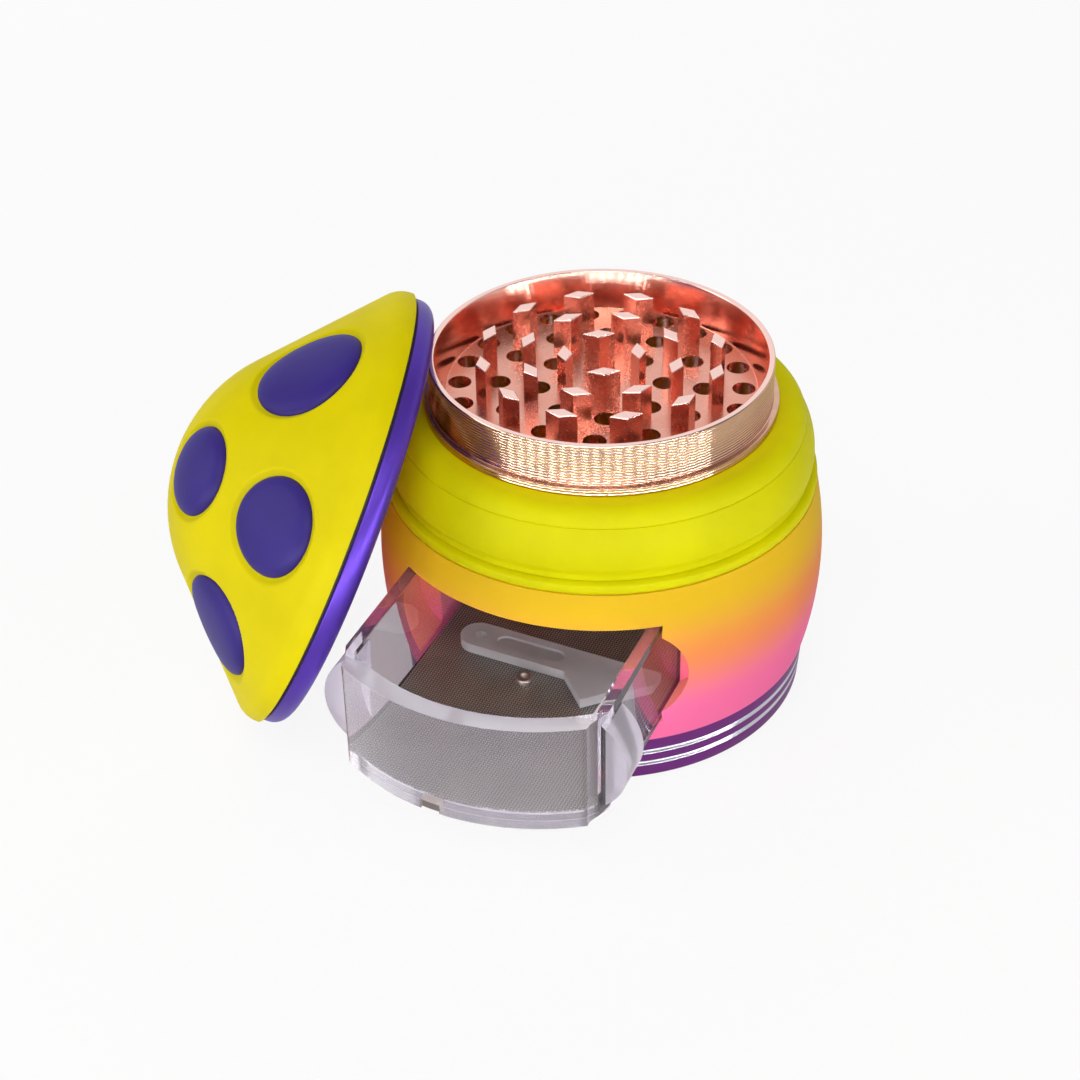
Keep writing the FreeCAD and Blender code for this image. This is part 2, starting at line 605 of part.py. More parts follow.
nodes = {
    "base_cup": make_base_cup(),
    "base_seal": make_base_seal(),
    "barrel": make_barrel(),
    "barrel_magnet": catch_disc(DRAWER_BACK + SLIDE_GAP, 0),
    "drawer_stop_pin": make_stop_pin(),
    "collar": make_collar(),
    "collar_seal": make_collar_seal(),
    "plate_rim": make_plate_rim(),
    "plate_floor": make_plate_floor(),
    "plate_teeth": make_plate_teeth(),
    "plate_magnet": make_plate_magnet(),
    "drawer_box": make_drawer_box(),
    "drawer_magnet": pulled_out(catch_disc(DRAWER_BACK - CATCH_DEPTH, 0)),
    "mesh_frame": make_mesh_frame(),
    "mesh_screen": make_mesh_screen(),
    "mesh_rivet": make_mesh_rivet(),
    "scraper": make_scraper(),
    "cap_core": leaning(make_cap_core()),
    "tooth_cup": leaning(make_tooth_cup()),
    "cap_magnet": leaning(make_cap_magnet()),
    "cap_screws": leaning(make_cap_screws()),
    "seam_gasket": leaning(make_seam_gasket()),
    "cap_shell": leaning(make_cap_shell()),
    "glide_ring": leaning(make_glide_ring()),
}
for number, place in enumerate(SPOTS, 1):
    nodes["cap_spot_%d" % number] = leaning(make_cap_spot(place))

os.makedirs("parts", exist_ok=True)
for name, shape in nodes.items():
    shape.exportStep("parts/%s.step" % name)
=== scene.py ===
"""Looks of a toadstool-shaped hand grinder around its frame: shells, copper, clear drawer and stage."""
import json
import math

import bmesh
import bpy
import numpy as np
from mathutils import Matrix, Vector


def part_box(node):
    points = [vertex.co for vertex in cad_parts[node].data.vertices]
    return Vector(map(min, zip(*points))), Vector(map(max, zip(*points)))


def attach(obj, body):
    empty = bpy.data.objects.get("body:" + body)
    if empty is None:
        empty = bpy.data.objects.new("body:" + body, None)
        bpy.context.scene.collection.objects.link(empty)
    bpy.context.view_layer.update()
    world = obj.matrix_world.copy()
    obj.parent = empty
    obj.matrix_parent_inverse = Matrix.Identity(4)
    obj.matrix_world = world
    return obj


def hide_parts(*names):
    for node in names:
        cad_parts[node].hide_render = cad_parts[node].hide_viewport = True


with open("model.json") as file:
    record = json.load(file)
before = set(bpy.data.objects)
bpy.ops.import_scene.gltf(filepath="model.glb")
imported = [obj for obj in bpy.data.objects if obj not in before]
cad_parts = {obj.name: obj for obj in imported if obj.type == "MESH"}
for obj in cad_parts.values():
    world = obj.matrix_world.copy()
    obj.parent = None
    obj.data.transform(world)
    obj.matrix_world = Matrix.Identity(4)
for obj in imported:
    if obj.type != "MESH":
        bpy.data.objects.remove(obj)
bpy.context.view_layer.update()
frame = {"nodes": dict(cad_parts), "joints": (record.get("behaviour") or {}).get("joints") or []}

bl_info = {
    "name": "Toadstool hand grinder",
    "version": (1, 0, 0),
    "blender": (4, 5, 0),
    "location": "View3D > Sidebar > Grinder",
    "description": "Builds the pieces and finishes of a toadstool-shaped hand grinder around its frame",
    "category": "Object",
}

MM = 0.001
TURNS = 256  # steps round a turned piece
SHARP = 30.0  # degrees over which an edge stays sharp
CORNER_SHARE = 0.45  # largest share of a side that a rounded corner takes up
HAIR = 0.01  # keeps the faces of two solids apart in a cut or a union
PAST = 1.0  # how far a cutting tool stands out of the piece

# Heights and radii in millimetres that the frame's nodes share with the pieces made here
BASE_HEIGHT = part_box("base_cup")[1].z / MM
BASE_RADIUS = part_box("base_cup")[1].x / MM
FOOT_RADIUS = 29.1
BASE_FLOOR = 1.6
SOCKET_RADIUS = 27.0
CUT_RINGS = (2.9, 5.05)
CUT_HEIGHT = 0.8
CUT_DEPTH = 0.35
CUT_ROUND = 0.15
BASE_CHAMFER = 0.6

BARREL_LOW = 3.5
BARREL_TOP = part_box("barrel")[1].z / MM
BARREL_RADIUS = 31.5
BARREL_FOOT_RADIUS = 29.85
BARREL_TOP_RADIUS = 30.2
BARREL_WIDEST = BASE_HEIGHT + 14.0
SPIGOT_RADIUS = 26.94
WELL_RADIUS = 24.74
CHUTE_RADIUS = 16.2
COLLAR_SOCKET = 27.05
COLLAR_SOCKET_Z = 29.6
CHANNEL_BACK = 16.25
SCOOP_BACK = -17.55

COLLAR_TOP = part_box("collar")[1].z / MM
COLLAR_SPIGOT = 27.0
COLLAR_LOW = 29.65
LIP_TOP = BARREL_TOP + 1.56
BULGE_FOOT = BARREL_TOP + 1.7
BULGE_FOOT_RADIUS = 29.2
BULGE_RADIUS = 29.6
CREASE_RADIUS = 28.36
COVE_Z = 0.8  # soft hollow above the lip, from the bulge's foot
COVE_HALF = 1.2
COVE_DEPTH = 0.25
LIP_STEP = 0.25
CREASE_GROOVE = 0.12
CREASE_Z = COLLAR_TOP - 2.3
LEDGE_RADIUS = 25.8
PLATE_BORE = 22.85
PLATE_BORE_Z = COLLAR_TOP - 4.55
FUNNEL_RADIUS = 20.6

RIM_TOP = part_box("plate_rim")[1].z / MM
FLANGE_RADIUS = 24.4
FLANGE_TOP = COLLAR_TOP + 1.3
RIM_RADIUS = 23.6
RIM_LIP = 0.8
DISH_Z = RIM_TOP - 5.3
DISH_RADIUS = 21.4
DISH_FILLET = 0.1
RIM_ROUND = 0.2
FLOOR_GAP = 0.05
HOLE_EDGE = 0.15
PLATE_UNDER = DISH_Z - 2.0
PLATE_SPIGOT = 22.8
PLATE_LOW = COLLAR_TOP - 4.5
PLATE_TURN = 3.0
TOOTH = (2.2, 1.05)  # half length across the radius, half width along it
PLATE_TEETH = ((5.0, 4, 22.5), (10.6, 8, 0.0), (16.3, 12, 0.0))
PLATE_HOLES = ((8.6, 8, 22.5), (14.1, 12, 15.0), (19.5, 22, 8.0))
HOLE_RADIUS = 1.6

DRAWER_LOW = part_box("drawer_box")[0].z / MM
DRAWER_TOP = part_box("drawer_box")[1].z / MM
DRAWER_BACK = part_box("drawer_box")[1].y / MM
DRAWER_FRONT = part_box("drawer_box")[0].y / MM
DRAWER_HALF = 18.3
DRAWER_WALL = 1.65
FRONT_RADIUS = 31.2
FRONT_WALL = 2.7
FRONT_CENTRE = DRAWER_FRONT + FRONT_RADIUS
CORNER = (1.3, 3.0)
EAR_RADIUS = (DRAWER_TOP - DRAWER_LOW) / 2
EAR_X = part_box("drawer_box")[1].x / MM - EAR_RADIUS
EAR_Y = (DRAWER_FRONT + 7.7, DRAWER_FRONT + 13.4)
SLIDE_GAP = 0.25  # room round the drawer in its channel
CHANNEL_HALF = DRAWER_HALF + SLIDE_GAP
CHANNEL_Z = (DRAWER_LOW - SLIDE_GAP, DRAWER_TOP + SLIDE_GAP)
NOTCH_X = (-4.25, -1.55)
NOTCH_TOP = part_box("mesh_screen")[0].z / MM + 0.05
MESH_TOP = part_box("mesh_screen")[1].z / MM

SCRAPER_Z = (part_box("scraper")[0].z / MM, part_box("scraper")[1].z / MM)
SCRAPER_NOSE = (-13.1, -19.85)
SCRAPER_TURN = -3.0
SCRAPER_HALF = 2.6
SCRAPER_HANDLE = 17.0
SCRAPER_BLADE = 11.0
SCRAPER_FLARE = 4.6
SCRAPER_EYE_X = 2.9
SCRAPER_EYE = 0.8
SCRAPER_PANEL = 0.4  # depth of the long panel
SCRAPER_EDGE = 0.2
RIVET = (-1.4, -25.3)
RIVET_RADIUS = 1.25
RIVET_HEIGHT = 0.7
RIVET_ROLL = 0.34  # rolled rim of the hollow rivet
RIVET_SINK = 0.4
RIVET_BOWL = (0.12, 0.08)  # height of the bowl over the screen, at a quarter of the radius and in the middle

# Cap, in its own frame: z 0 is the mouth and +z points to the top
CAP_RIM_RADIUS = 31.2
CAP_RIM_HEIGHT = 3.0
CAP_RIM_ROUND = 2.0
SEAM_Z = 3.4
GASKET_RADIUS = 30.85
CAP_RADIUS = 31.7
CAP_EDGE = 1.8
CAP_EDGE_ROUND = 4.0
SLOPE = math.radians(47.4)
CAP_TOP_RADIUS = 22.9
CAP_STEPS = 76  # points along each long part of the shell's outline
SHELL = 1.6
GLIDE_SEAT = (25.46, 1.21)
CUP_SEAT = (25.05, 8.0)
CORE_TOP = 9.8
CORE_GAP = 0.15  # room between the core and the shell
CORE_EDGE = 0.35
FLANK_RISE = (CAP_RADIUS - CAP_TOP_RADIUS * math.cos(SLOPE)) / math.tan(SLOPE)
BALL_Z = SEAM_Z + CAP_EDGE + FLANK_RISE - CAP_TOP_RADIUS * math.sin(SLOPE)
EDGE_CENTRE = (CAP_RADIUS - CAP_EDGE_ROUND, SEAM_Z + CAP_EDGE - CAP_EDGE_ROUND * math.tan(SLOPE / 2))
SPOT_TURNS = 96
SPOT_PASSES = 8  # moves that bring a spot's points to their heights over the shell
# Spots: place round the axis from the uppermost side, distance from the axis, diameter
SPOTS = ((-7, 21.6, 15.6), (-68, 23.5, 13.3), (-124, 22.3, 14.6), (173, 21.6, 15.6),
         (112, 23.5, 13.3), (64, 22.3, 14.6), (-65, 9.8, 12.4), (119, 10.2, 12.4))

# Camera of the photograph
CAMERA_AZIMUTH = 21.7
CAMERA_ELEVATION = 35.46
CAMERA_DISTANCE = 320.3
CAMERA_TARGET = (0.0, 0.0, 20.25)
CAMERA_LENS = 74.2
CAMERA_SHIFT_X = -0.057

# Lamps: name, place, target and size in millimetres, watts, and whether bright metal mirrors them
LAMPS = (("key", (110, -380, 560), (0, 0, 20), (420, 300), 1.36, True),
         ("front", (155, -390, 130), (0, 0, 25), (420, 120), 0.62, False),
         ("left", (-520, -260, 300), (-20, -10, 25), (300, 420), 1.25, True),
         ("right", (480, -120, 260), (0, 0, 25), (260, 360), 0.60, False),
         ("back", (-260, 420, 400), (0, 0, 30), (500, 220), 1.2, False))
# Small lamps in front that only show as streaks on bright metal: name, height, target's height, size, watts
STREAKS = (("strip", 45, 48, (7, 80), 0.064), ("bead", 290, 4, (16, 16), 0.024))
STRIPS = 21
STRIP_SPREAD = 128.0  # degrees
STRIP_FAR = 300.0
FLOOR_HALF = 3000.0
FLOOR_Z = (-20.02, -0.02)


def length(name, description, millimetres):
    """Length property with its default in millimetres."""
    return bpy.props.FloatProperty(name=name, description=description, default=millimetres * MM,
                                   unit="LENGTH", precision=5)


def colour(name, description, rgb):
    """Colour property with a linear default."""
    return bpy.props.FloatVectorProperty(name=name, description=description, default=rgb, subtype="COLOR",
                                         size=3, min=0.0, max=1.0)


class GrinderSizes(bpy.types.PropertyGroup):
    """Sizes of the small forms that the finish adds to the frame."""
    spot_rise: length("Spot rise", "How far a spot's crown stands above the shell", 0.5)
    spot_sink: length("Spot sink", "How far a spot's edge goes down into its seat", 0.7)
    seat_depth: length("Seat depth", "How deep the shell is drawn in under a spot", 0.65)
    seat_moat: length("Seat moat", "Width of the narrow groove round a spot", 0.15)
    seat_slope: length("Seat slope", "Width of the soft shoulder round a spot", 0.85)
    edge_round: length("Edge round", "Round on the turned edges", 0.3)
    tooth_edge: length("Tooth edge", "Small flat on the edges of the teeth", 0.12)
    drawer_edge: length("Drawer edge", "Polished edge of the clear drawer", 0.18)
    weave_pitch: length("Weave pitch", "Distance between the screen's wires", 0.42)
    turned_pitch: length("Turned lines", "Distance between the lines that turning leaves on the copper", 0.16)
    rim_pitch: length("Rim grooves", "Distance between the turned grooves on the rim's outside", 0.42)


class GrinderColours(bpy.types.PropertyGroup):
    """Colours of the grinder's finishes."""
    cap: colour("Cap", "Matte shell of the cap", (0.80, 0.67, 0.001))
    spot: colour("Spots", "Satin pads on the cap", (0.038, 0.022, 0.20))
    rim: colour("Cap rim", "Anodised rim of the cap", (0.085, 0.036, 0.36))
    collar: colour("Collar", "Matte collar", (0.75, 0.71, 0.001))
    barrel_top: colour("Barrel top", "Upper colour of the barrel", (0.82, 0.51, 0.014))
    barrel_middle: colour("Barrel middle", "Colour halfway up the barrel", (0.91, 0.28, 0.085))
    barrel_foot: colour("Barrel foot", "Lower colour of the barrel", (0.95, 0.17, 0.38))
    base: colour("Base", "Anodised base", (0.135, 0.018, 0.165))
    cut_ring: colour("Cut rings", "Bare metal of the base's cut rings", (0.52, 0.50, 0.57))
    copper: colour("Copper", "Satin plate and teeth", (0.80, 0.42, 0.34))
    copper_top: colour("Copper tops", "Milled tops of the teeth", (0.92, 0.66, 0.61))
    # Copper rim: painted shade, darker than the plate's copper to stand in for the dark surroundings the
    # rim's outside reflects
    copper_rim: colour("Copper rim", "Turned outside of the rim", (0.66, 0.42, 0.32))
    acrylic: colour("Acrylic", "Tint of the clear drawer", (0.94, 0.92, 0.955))
    # Smoke: painted shade, a darker tint on the drawer's side walls standing in for the shadowed floor seen
    # through them
    painted_side_shade: colour("Painted side shade", "Tint of the drawer's side walls", (0.72, 0.68, 0.73))
    # Tab: painted shade, dark brown-grey painted on the drawer's faces round the slot where the clear tab
    # looks shaded
    tab: colour("Tab", "Tab of the screen's frame in the slot", (0.20, 0.155, 0.14))
    frost_and_painted_veil: colour("Frost", "Frosted flanks of the drawer's ears", (0.56, 0.52, 0.60))
    mesh: colour("Screen", "Woven steel screen", (0.23, 0.235, 0.22))
    scraper: colour("Scraper", "Frosted scraper", (0.70, 0.69, 0.71))
    # Rivet: dark brownish steel, partly the rivet's own tone and partly painted shade for its hollow bowl
    rivet: colour("Rivet", "Hollow rivet of the screen", (0.28, 0.23, 0.21))
    steel: colour("Steel", "Pin, screws and magnets", (0.62, 0.62, 0.64))
    nylon: colour("Nylon", "Glide ring in the cap's mouth", (0.78, 0.77, 0.73))
    rubber: colour("Rubber", "Sealing rings and gasket", (0.012, 0.012, 0.014))
    floor: colour("Floor", "Pale floor", (0.90, 0.90, 0.90))


def operator(operation, reflected=False):
    """Method of a wire that adds a Math node; a reflected one puts the wire last."""
    def apply(self, *others):
        values = (*others, self) if reflected else (self, *others)
        return self.finish.node("ShaderNodeMath", dict(enumerate(values)), operation=operation)
    return apply


class Wire:
    """A shader value; arithmetic on it adds Math nodes to its finish."""
    __add__ = operator("ADD")
    __radd__ = operator("ADD", True)
    __sub__ = operator("SUBTRACT")
    __rsub__ = operator("SUBTRACT", True)
    __mul__ = operator("MULTIPLY")
    __rmul__ = operator("MULTIPLY", True)
    __truediv__ = operator("DIVIDE")
    __abs__ = operator("ABSOLUTE")
    sine = operator("SINE")
    cosine = operator("COSINE")
    root = operator("SQRT")
    most = operator("MAXIMUM")

    def __init__(self, finish, socket):
        self.finish = finish
        self.socket = socket

    def step(self, low, high):
        """Smooth rise from 0 at low to 1 at high."""
        return self.finish.node("ShaderNodeMapRange", {"Value": self, "From Min": low, "From Max": high},
                                interpolation_type="SMOOTHSTEP")


class Finish:
    """Node tree of one material, or of the world if that is the holder."""

    def __init__(self, name, holder=None):
        self.material = holder or bpy.data.materials.new(name)
        self.material.use_nodes = True
        self.tree = self.material.node_tree
        self.tree.nodes.clear()
        self.place = self.node("ShaderNodeTexCoord", out="Object")

    def node(self, kind, inputs=None, out=0, **settings):
        """Any node: its settings are set first, then its sockets are given values or links."""
        node = self.tree.nodes.new(kind)
        for key, value in settings.items():
            setattr(node, key, value)
        for key, value in (inputs or {}).items():
            if isinstance(value, Wire):
                self.tree.links.new(value.socket, node.inputs[key])
            else:
                node.inputs[key].default_value = value
        return Wire(self, node.outputs[out]) if node.outputs else None

    def axes(self):
        """The X, Y and Z of a point on the piece, in metres."""
        return [self.node("ShaderNodeSeparateXYZ", {"Vector": self.place}, k) for k in range(3)]

    def noise(self, size_mm, detail=3.0, stretch=None):
        """Noise from 0 to 1 with features of about that size; stretch scales the axes."""
        where = self.place
        if stretch:
            where = self.node("ShaderNodeMapping", {"Vector": where, "Scale": stretch})
        return self.node("ShaderNodeTexNoise",
                         {"Vector": where, "Scale": 1 / (size_mm * MM), "Detail": detail})

    def mix(self, factor, a, b):
        """Colour between a and b."""
        return self.node("ShaderNodeMix", {0: factor, 6: rgba(a), 7: rgba(b)}, 2, data_type="RGBA")

    def bump(self, height, strength, distance_mm):
        """Normal from a height wire."""
        return self.node("ShaderNodeBump",
                         {"Height": height, "Strength": strength, "Distance": distance_mm * MM})

    def principled(self, **sockets):
        """Principled shader with the given sockets."""
        inputs = {key.replace("_", " "): value for key, value in sockets.items()}
        return self.node("ShaderNodeBsdfPrincipled", inputs)

    def surface(self, **sockets):
        """Material with a principled shader."""
        return self.made(self.principled(**sockets))

    def made(self, shader, kind="ShaderNodeOutputMaterial"):
        """The material or world, with a shader linked to its output."""
        self.node(kind, {"Surface": shader})
        return self.material


def rgba(value):
    """Colour with full alpha, or the wire itself."""
    return value if isinstance(value, Wire) else (*value, 1.0)


def scaled(tone, share):
    """A colour times a share, kept within 1."""
    return tuple(min(1.0, share * v) for v in tone)


def mottled(name, tones, cloud, span, grain, rough, bump, **sockets):
    """Even finish: two close tones in soft clouds, and a fine grain in its roughness and bump.

    cloud and grain are two noises, span is the step between the tones, rough is the lowest roughness and
    what the grain adds, and bump is its strength and height."""
    finish = Finish(name)
    shade = finish.mix(finish.noise(*cloud).step(*span), *tones)
    fine = finish.noise(*grain)
    return finish.surface(Base_Color=shade, Roughness=rough[0] + rough[1] * fine,
                          Normal=finish.bump(fine, *bump), **sockets)


def soft_paint(name, base, roughness):
    """Matte soft-touch paint with faint cloudiness and a fine grain."""
    return mottled(name, (scaled(base, 0.93), base), (9.0,), (0.3, 0.7), (0.12, 2.0),
                   (roughness - 0.05, 0.10), (0.10, 0.05), Specular_IOR_Level=0.05)


def satin_anodised(name, base, roughness, metal):
    """Anodised metal with a satin blasted grain."""
    return mottled(name, (base, scaled(base, 1.12)), (6.0,), (0.3, 0.7), (0.10, 2.0),
                   (roughness - 0.06, 0.12), (0.12, 0.04), Metallic=metal, Specular_IOR_Level=0.1)


def frosted_plastic(colours):
    """Whitish half-clear plastic with a fine moulded grain."""
    base = colours.scraper
    return mottled("frosted_plastic", (scaled(base, 0.90), base), (5.0, 2.0), (0.3, 0.7), (0.15, 2.0),
                   (0.30, 0.12), (0.1, 0.04), IOR=1.46, Transmission_Weight=0.72)


def bright_steel(name, base, roughness):
    """Steel or nickel with fine scratches."""
    scratch = (0.4, 4.0, (1.0, 6.0, 1.0))
    return mottled(name, (scaled(base, 0.85), base), scratch, (0.35, 0.65), scratch,
                   (roughness, 0.10), (0.06, 0.02), Metallic=1.0)


def black_rubber(colours):
    """Matte black rubber with a faint bloom."""
    base = colours.rubber
    pale = tuple(v + 0.012 for v in base)
    return mottled("black_rubber", (base, pale), (1.5,), (0.4, 0.8), (1.5,), (0.65, 0.15), (0.05, 0.05))


def barrel_paint(colours):
    """Sprayed fade from orange to pink; faces that look down are pinker and faces that look up more orange.
    """
    finish = Finish("barrel_fade")
    z = finish.axes()[2]
    normal = finish.node("ShaderNodeTexCoord", out="Normal")
    facing = finish.node("ShaderNodeSeparateXYZ", {"Vector": normal}, 2)
    cloud = finish.noise(14.0, 2.0)
    grain = finish.noise(0.14, 2.0)
    height = z / MM + 6.0 * facing + 1.2 * (cloud - 0.5) + 0.6 * (grain - 0.5)
    low = finish.mix(height.step(11.0, 23.0), colours.barrel_foot, colours.barrel_middle)
    shade = finish.mix(height.step(21.0, 32.0), low, colours.barrel_top)
    return finish.surface(Base_Color=shade, Roughness=0.50 + 0.10 * grain,
                          Normal=finish.bump(grain, 0.12, 0.06), Specular_IOR_Level=0.05)


def base_anodised(colours):
    """Purple anodised base whose cut rings are bare bright metal with fine cutter marks."""
    finish = Finish("base_anodised")
    x, y, z = finish.axes()
    rings = sum(1 - abs(z / MM - ring).step(0.48 * CUT_HEIGHT, 0.56 * CUT_HEIGHT) for ring in CUT_RINGS)
    radius = (x * x + y * y).root()
    bright = rings * (radius / MM).step(FOOT_RADIUS - 1.2, FOOT_RADIUS - 0.9)
    grain = finish.noise(0.10, 2.0)
    marks = finish.noise(0.5, 2.0, (1.0, 1.0, 0.05))
    return finish.surface(Base_Color=finish.mix(bright, colours.base, colours.cut_ring),
                          Metallic=0.2 + 0.8 * bright, Roughness=0.38 - 0.24 * bright + 0.08 * grain,
                          Normal=finish.bump(bright * marks + 0.15 * grain, 0.25, 0.06),
                          Specular_IOR_Level=0.2)


def polished_copper(name, colours, sizes, roughness, leans=False):
    """Copper with fine turned lines round its axis and faint wear; the plate has milled tops."""
    finish = Finish(name)
    if leans:
        centre, axes = cap_axes()
        finish.place = finish.node("ShaderNodeMapping",
                                   {"Vector": finish.place, "Location": tuple(-(axes @ centre) * MM),
                                    "Rotation": Matrix(axes.tolist()).to_euler()})
    x, y, z = finish.axes()
    radius = (x * x + y * y).root()
    lines = ((radius + z) * (2 * math.pi / sizes.turned_pitch)).sine()
    rub = finish.noise(0.9, 4.0)
    smear = finish.noise(5.0, 2.0)
    deep = tuple(v * w for v, w in zip(colours.copper, (0.96, 0.90, 0.88)))
    body = finish.mix(smear.step(0.35, 0.7), colours.copper, deep)
    if not leans:
        body = finish.mix((z / MM).step(RIM_TOP - 0.2, RIM_TOP - 0.02), body, colours.copper_top)
    return finish.surface(Base_Color=body, Metallic=1.0, Roughness=roughness + 0.12 * rub,
                          Normal=finish.bump(0.6 * lines + 0.35 * rub, 0.10, 0.012),
                          Specular_Tint=(0.95, 0.72, 0.66, 1.0))


def turned_copper(colours, sizes):
    """Copper with coarse turned grooves, which draw each lamp out into an upright beaded streak."""
    finish = Finish("turned_copper")
    z = finish.axes()[2]
    lines = (z * (2 * math.pi / sizes.rim_pitch)).sine()
    rub = finish.noise(0.6, 3.0, (0.3, 0.3, 3.0))
    # The rim copper's darker colour is painted shade for the dark surroundings it reflects
    shade = finish.mix(rub.step(0.3, 0.7), scaled(colours.copper_rim, 0.9), colours.copper_rim)
    return finish.surface(Base_Color=shade, Metallic=1.0,
                          Roughness=0.09 + 0.04 * rub, Normal=finish.bump(lines + 0.04 * rub, 1.0, 0.029),
                          Specular_Tint=(0.95, 0.80, 0.70, 1.0))


def clear_acrylic(colours):
    """Clear acrylic with a thin haze, a milkier front wall as painted reflection of the white surroundings,
    and side walls tinted darker as painted shade for the shadowed floor seen through them; the ears, the tab
    and the front's top are milky, and the tab's faces are painted dark as painted shade.
    """
    finish = Finish("clear_acrylic")
    x, y, z = (axis / MM for axis in finish.axes())
    grain = finish.noise(0.25, 2.0)
    cloud = finish.noise(4.0, 2.0)
    front = 1 - y.step(DRAWER_FRONT + 5.0, DRAWER_FRONT + 9.0)
    ears = abs(x).step(DRAWER_HALF + 0.02, DRAWER_HALF + 0.2)
    edge = front * z.step(DRAWER_TOP - 0.12, DRAWER_TOP - 0.03)
    middle = sum(NOTCH_X) / 2
    room = NOTCH_X[1] - middle + 0.1
    slot = (1 - abs(x - middle).step(room, room + 0.1)) * (1 - z.step(NOTCH_TOP, NOTCH_TOP + 0.1))
    slot = slot * (1 - y.step(DRAWER_FRONT + FRONT_WALL, DRAWER_FRONT + FRONT_WALL + 0.4))
    inside = DRAWER_HALF - DRAWER_WALL
    # Side walls: painted shade, they take the darker side tint for the shadowed floor seen through them
    side = abs(x).step(inside - 0.35, inside - 0.05)
    # The front wall's extra milkiness is painted reflection, a whitish veil for the white surroundings it
    # reflects; the ears and the slot are frosted
    frost_and_painted_veil = (0.025 + 0.125 * front).most(0.55 * edge).most(0.80 * ears).most(0.8 * slot)
    clear = finish.principled(Base_Color=finish.mix(side, colours.acrylic, colours.painted_side_shade),
                              Roughness=0.015 + 0.015 * cloud, IOR=1.49, Transmission_Weight=1.0)
    # Faces round the slot take the tab's dark brown-grey: painted shade for the clear tab seen in the slot
    milky = finish.principled(Base_Color=finish.mix(slot, colours.frost_and_painted_veil, colours.tab),
                              Roughness=0.40 + 0.15 * grain, IOR=1.49, Transmission_Weight=0.4,
                              Normal=finish.bump(grain, 0.08, 0.1))
    return finish.made(finish.node("ShaderNodeMixShader", {0: frost_and_painted_veil, 1: clear, 2: milky}))


def woven_steel(colours, sizes):
    """Plain weave: wires along X and Y pass over and under each other, with gaps between them; the wires'
    high parts are painted lighter as painted glints and the low parts darker as painted shade.
    """
    finish = Finish("woven_steel")
    x, y = (axis * (math.pi / sizes.weave_pitch) for axis in finish.axes()[:2])
    across = x.sine()
    along = y.sine()
    wire_x = 1 - along * along
    wire_y = 1 - across * across
    over = x.cosine() * y.cosine()
    height = (wire_x * (0.5 + 0.5 * over)).most(wire_y * (0.5 - 0.5 * over))
    cover = wire_x.most(wire_y).step(0.30, 0.42)
    tint = finish.noise(7.0, 2.0)
    # Painted glints and painted shade: the colour runs from dark in the low parts to light on the wires' high
    # parts
    lit = (height * (0.7 + 0.6 * tint)).step(0.15, 0.95)
    shade = finish.mix(lit, scaled(colours.mesh, 0.30), scaled(colours.mesh, 2.1))
    return finish.surface(Base_Color=shade, Metallic=0.75, Roughness=0.36, Alpha=0.28 + 0.72 * cover,
                          Normal=finish.bump(height, 0.5, 0.12))


def rectangle(left, low, right, high):
    """Corners of a rectangle."""
    return [(left, low), (right, low), (right, high), (left, high)]


def arc(centre, radius, start, end, steps):
    """Points of a circle's arc between two angles in degrees."""
    a = np.radians(np.linspace(start, end, steps))
    return np.stack([centre[0] + radius * np.cos(a), centre[1] + radius * np.sin(a)], axis=1)


def circle(centre, radius, steps):
    """Points of a full circle."""
    return arc(centre, radius, 0, 360, steps + 1)[:-1]


def arc_through(start, middle, end, steps):
    """Points of the arc through three points: the centre solves two equal-distance equations."""
    p, q, r = (np.array(v, float) for v in (start, middle, end))
    centre = np.linalg.solve(2 * np.array([q - p, r - p]), np.array([q @ q - p @ p, r @ r - p @ p]))
    angles = np.degrees(np.unwrap([math.atan2(*(v - centre)[::-1]) for v in (p, q, r)]))
    return arc(centre, np.linalg.norm(p - centre), angles[0], angles[2], steps)


def rounded(points, radius, steps=5):
    """Open outline with its inner corners eased: each curve runs between an arc's points of contact."""
    points = np.array(points, float)
    t = np.linspace(0, 1, steps)[:, None]
    made = [points[:1]]
    for before, corner, after in zip(points, points[1:], points[2:]):
        sides = np.array([before, after]) - corner
        long = np.linalg.norm(sides, axis=1, keepdims=True)
        a, b = sides / long
        half = math.acos(np.clip(a @ b, -1.0, 1.0)) / 2
        cut = min(radius / math.tan(half), CORNER_SHARE * long.min())
        made.append(corner + cut * ((1 - t) ** 2 * a + t ** 2 * b))
    return np.concatenate([*made, points[-1:]])


def grid_faces(rows, cols, closed):
    """Quads of a grid whose rows form a ring; closed joins the last column to the first."""
    i = np.arange(rows)[:, None]
    j = np.arange(cols if closed else cols - 1)[None, :]
    n = (i + 1) % rows
    k = (j + 1) % cols
    return np.stack([i * cols + j, n * cols + j, n * cols + k, i * cols + k], axis=-1).reshape(-1, 4)


def lathe(profile, closed=True, turns=TURNS):
    """Surface of revolution: the profile's (r, z) at angle a becomes (r cos a, r sin a, z)."""
    a = np.linspace(0, 2 * np.pi, turns, endpoint=False)[:, None]
    r, z = np.asarray(profile, float).T
    points = np.stack([r * np.cos(a), r * np.sin(a), z + 0 * a], axis=-1)
    return points.reshape(-1, 3), grid_faces(turns, len(r), closed).tolist()


def stack(rings):
    """Closed surface through rings of equally many points, with both ends capped."""
    count, levels = len(rings[0]), len(rings)
    points = np.stack(rings, axis=1).reshape(-1, 3)
    low, high = (list(range(level, count * levels, levels)) for level in (0, levels - 1))
    return points, grid_faces(count, levels, False).tolist() + [low[::-1], high]


def prism(outline, low, high, axis=2):
    """Closed prism: an outline drawn out along an axis from low to high."""
    return stack([np.insert(np.asarray(outline, float), axis, level, axis=1) for level in (low, high)])


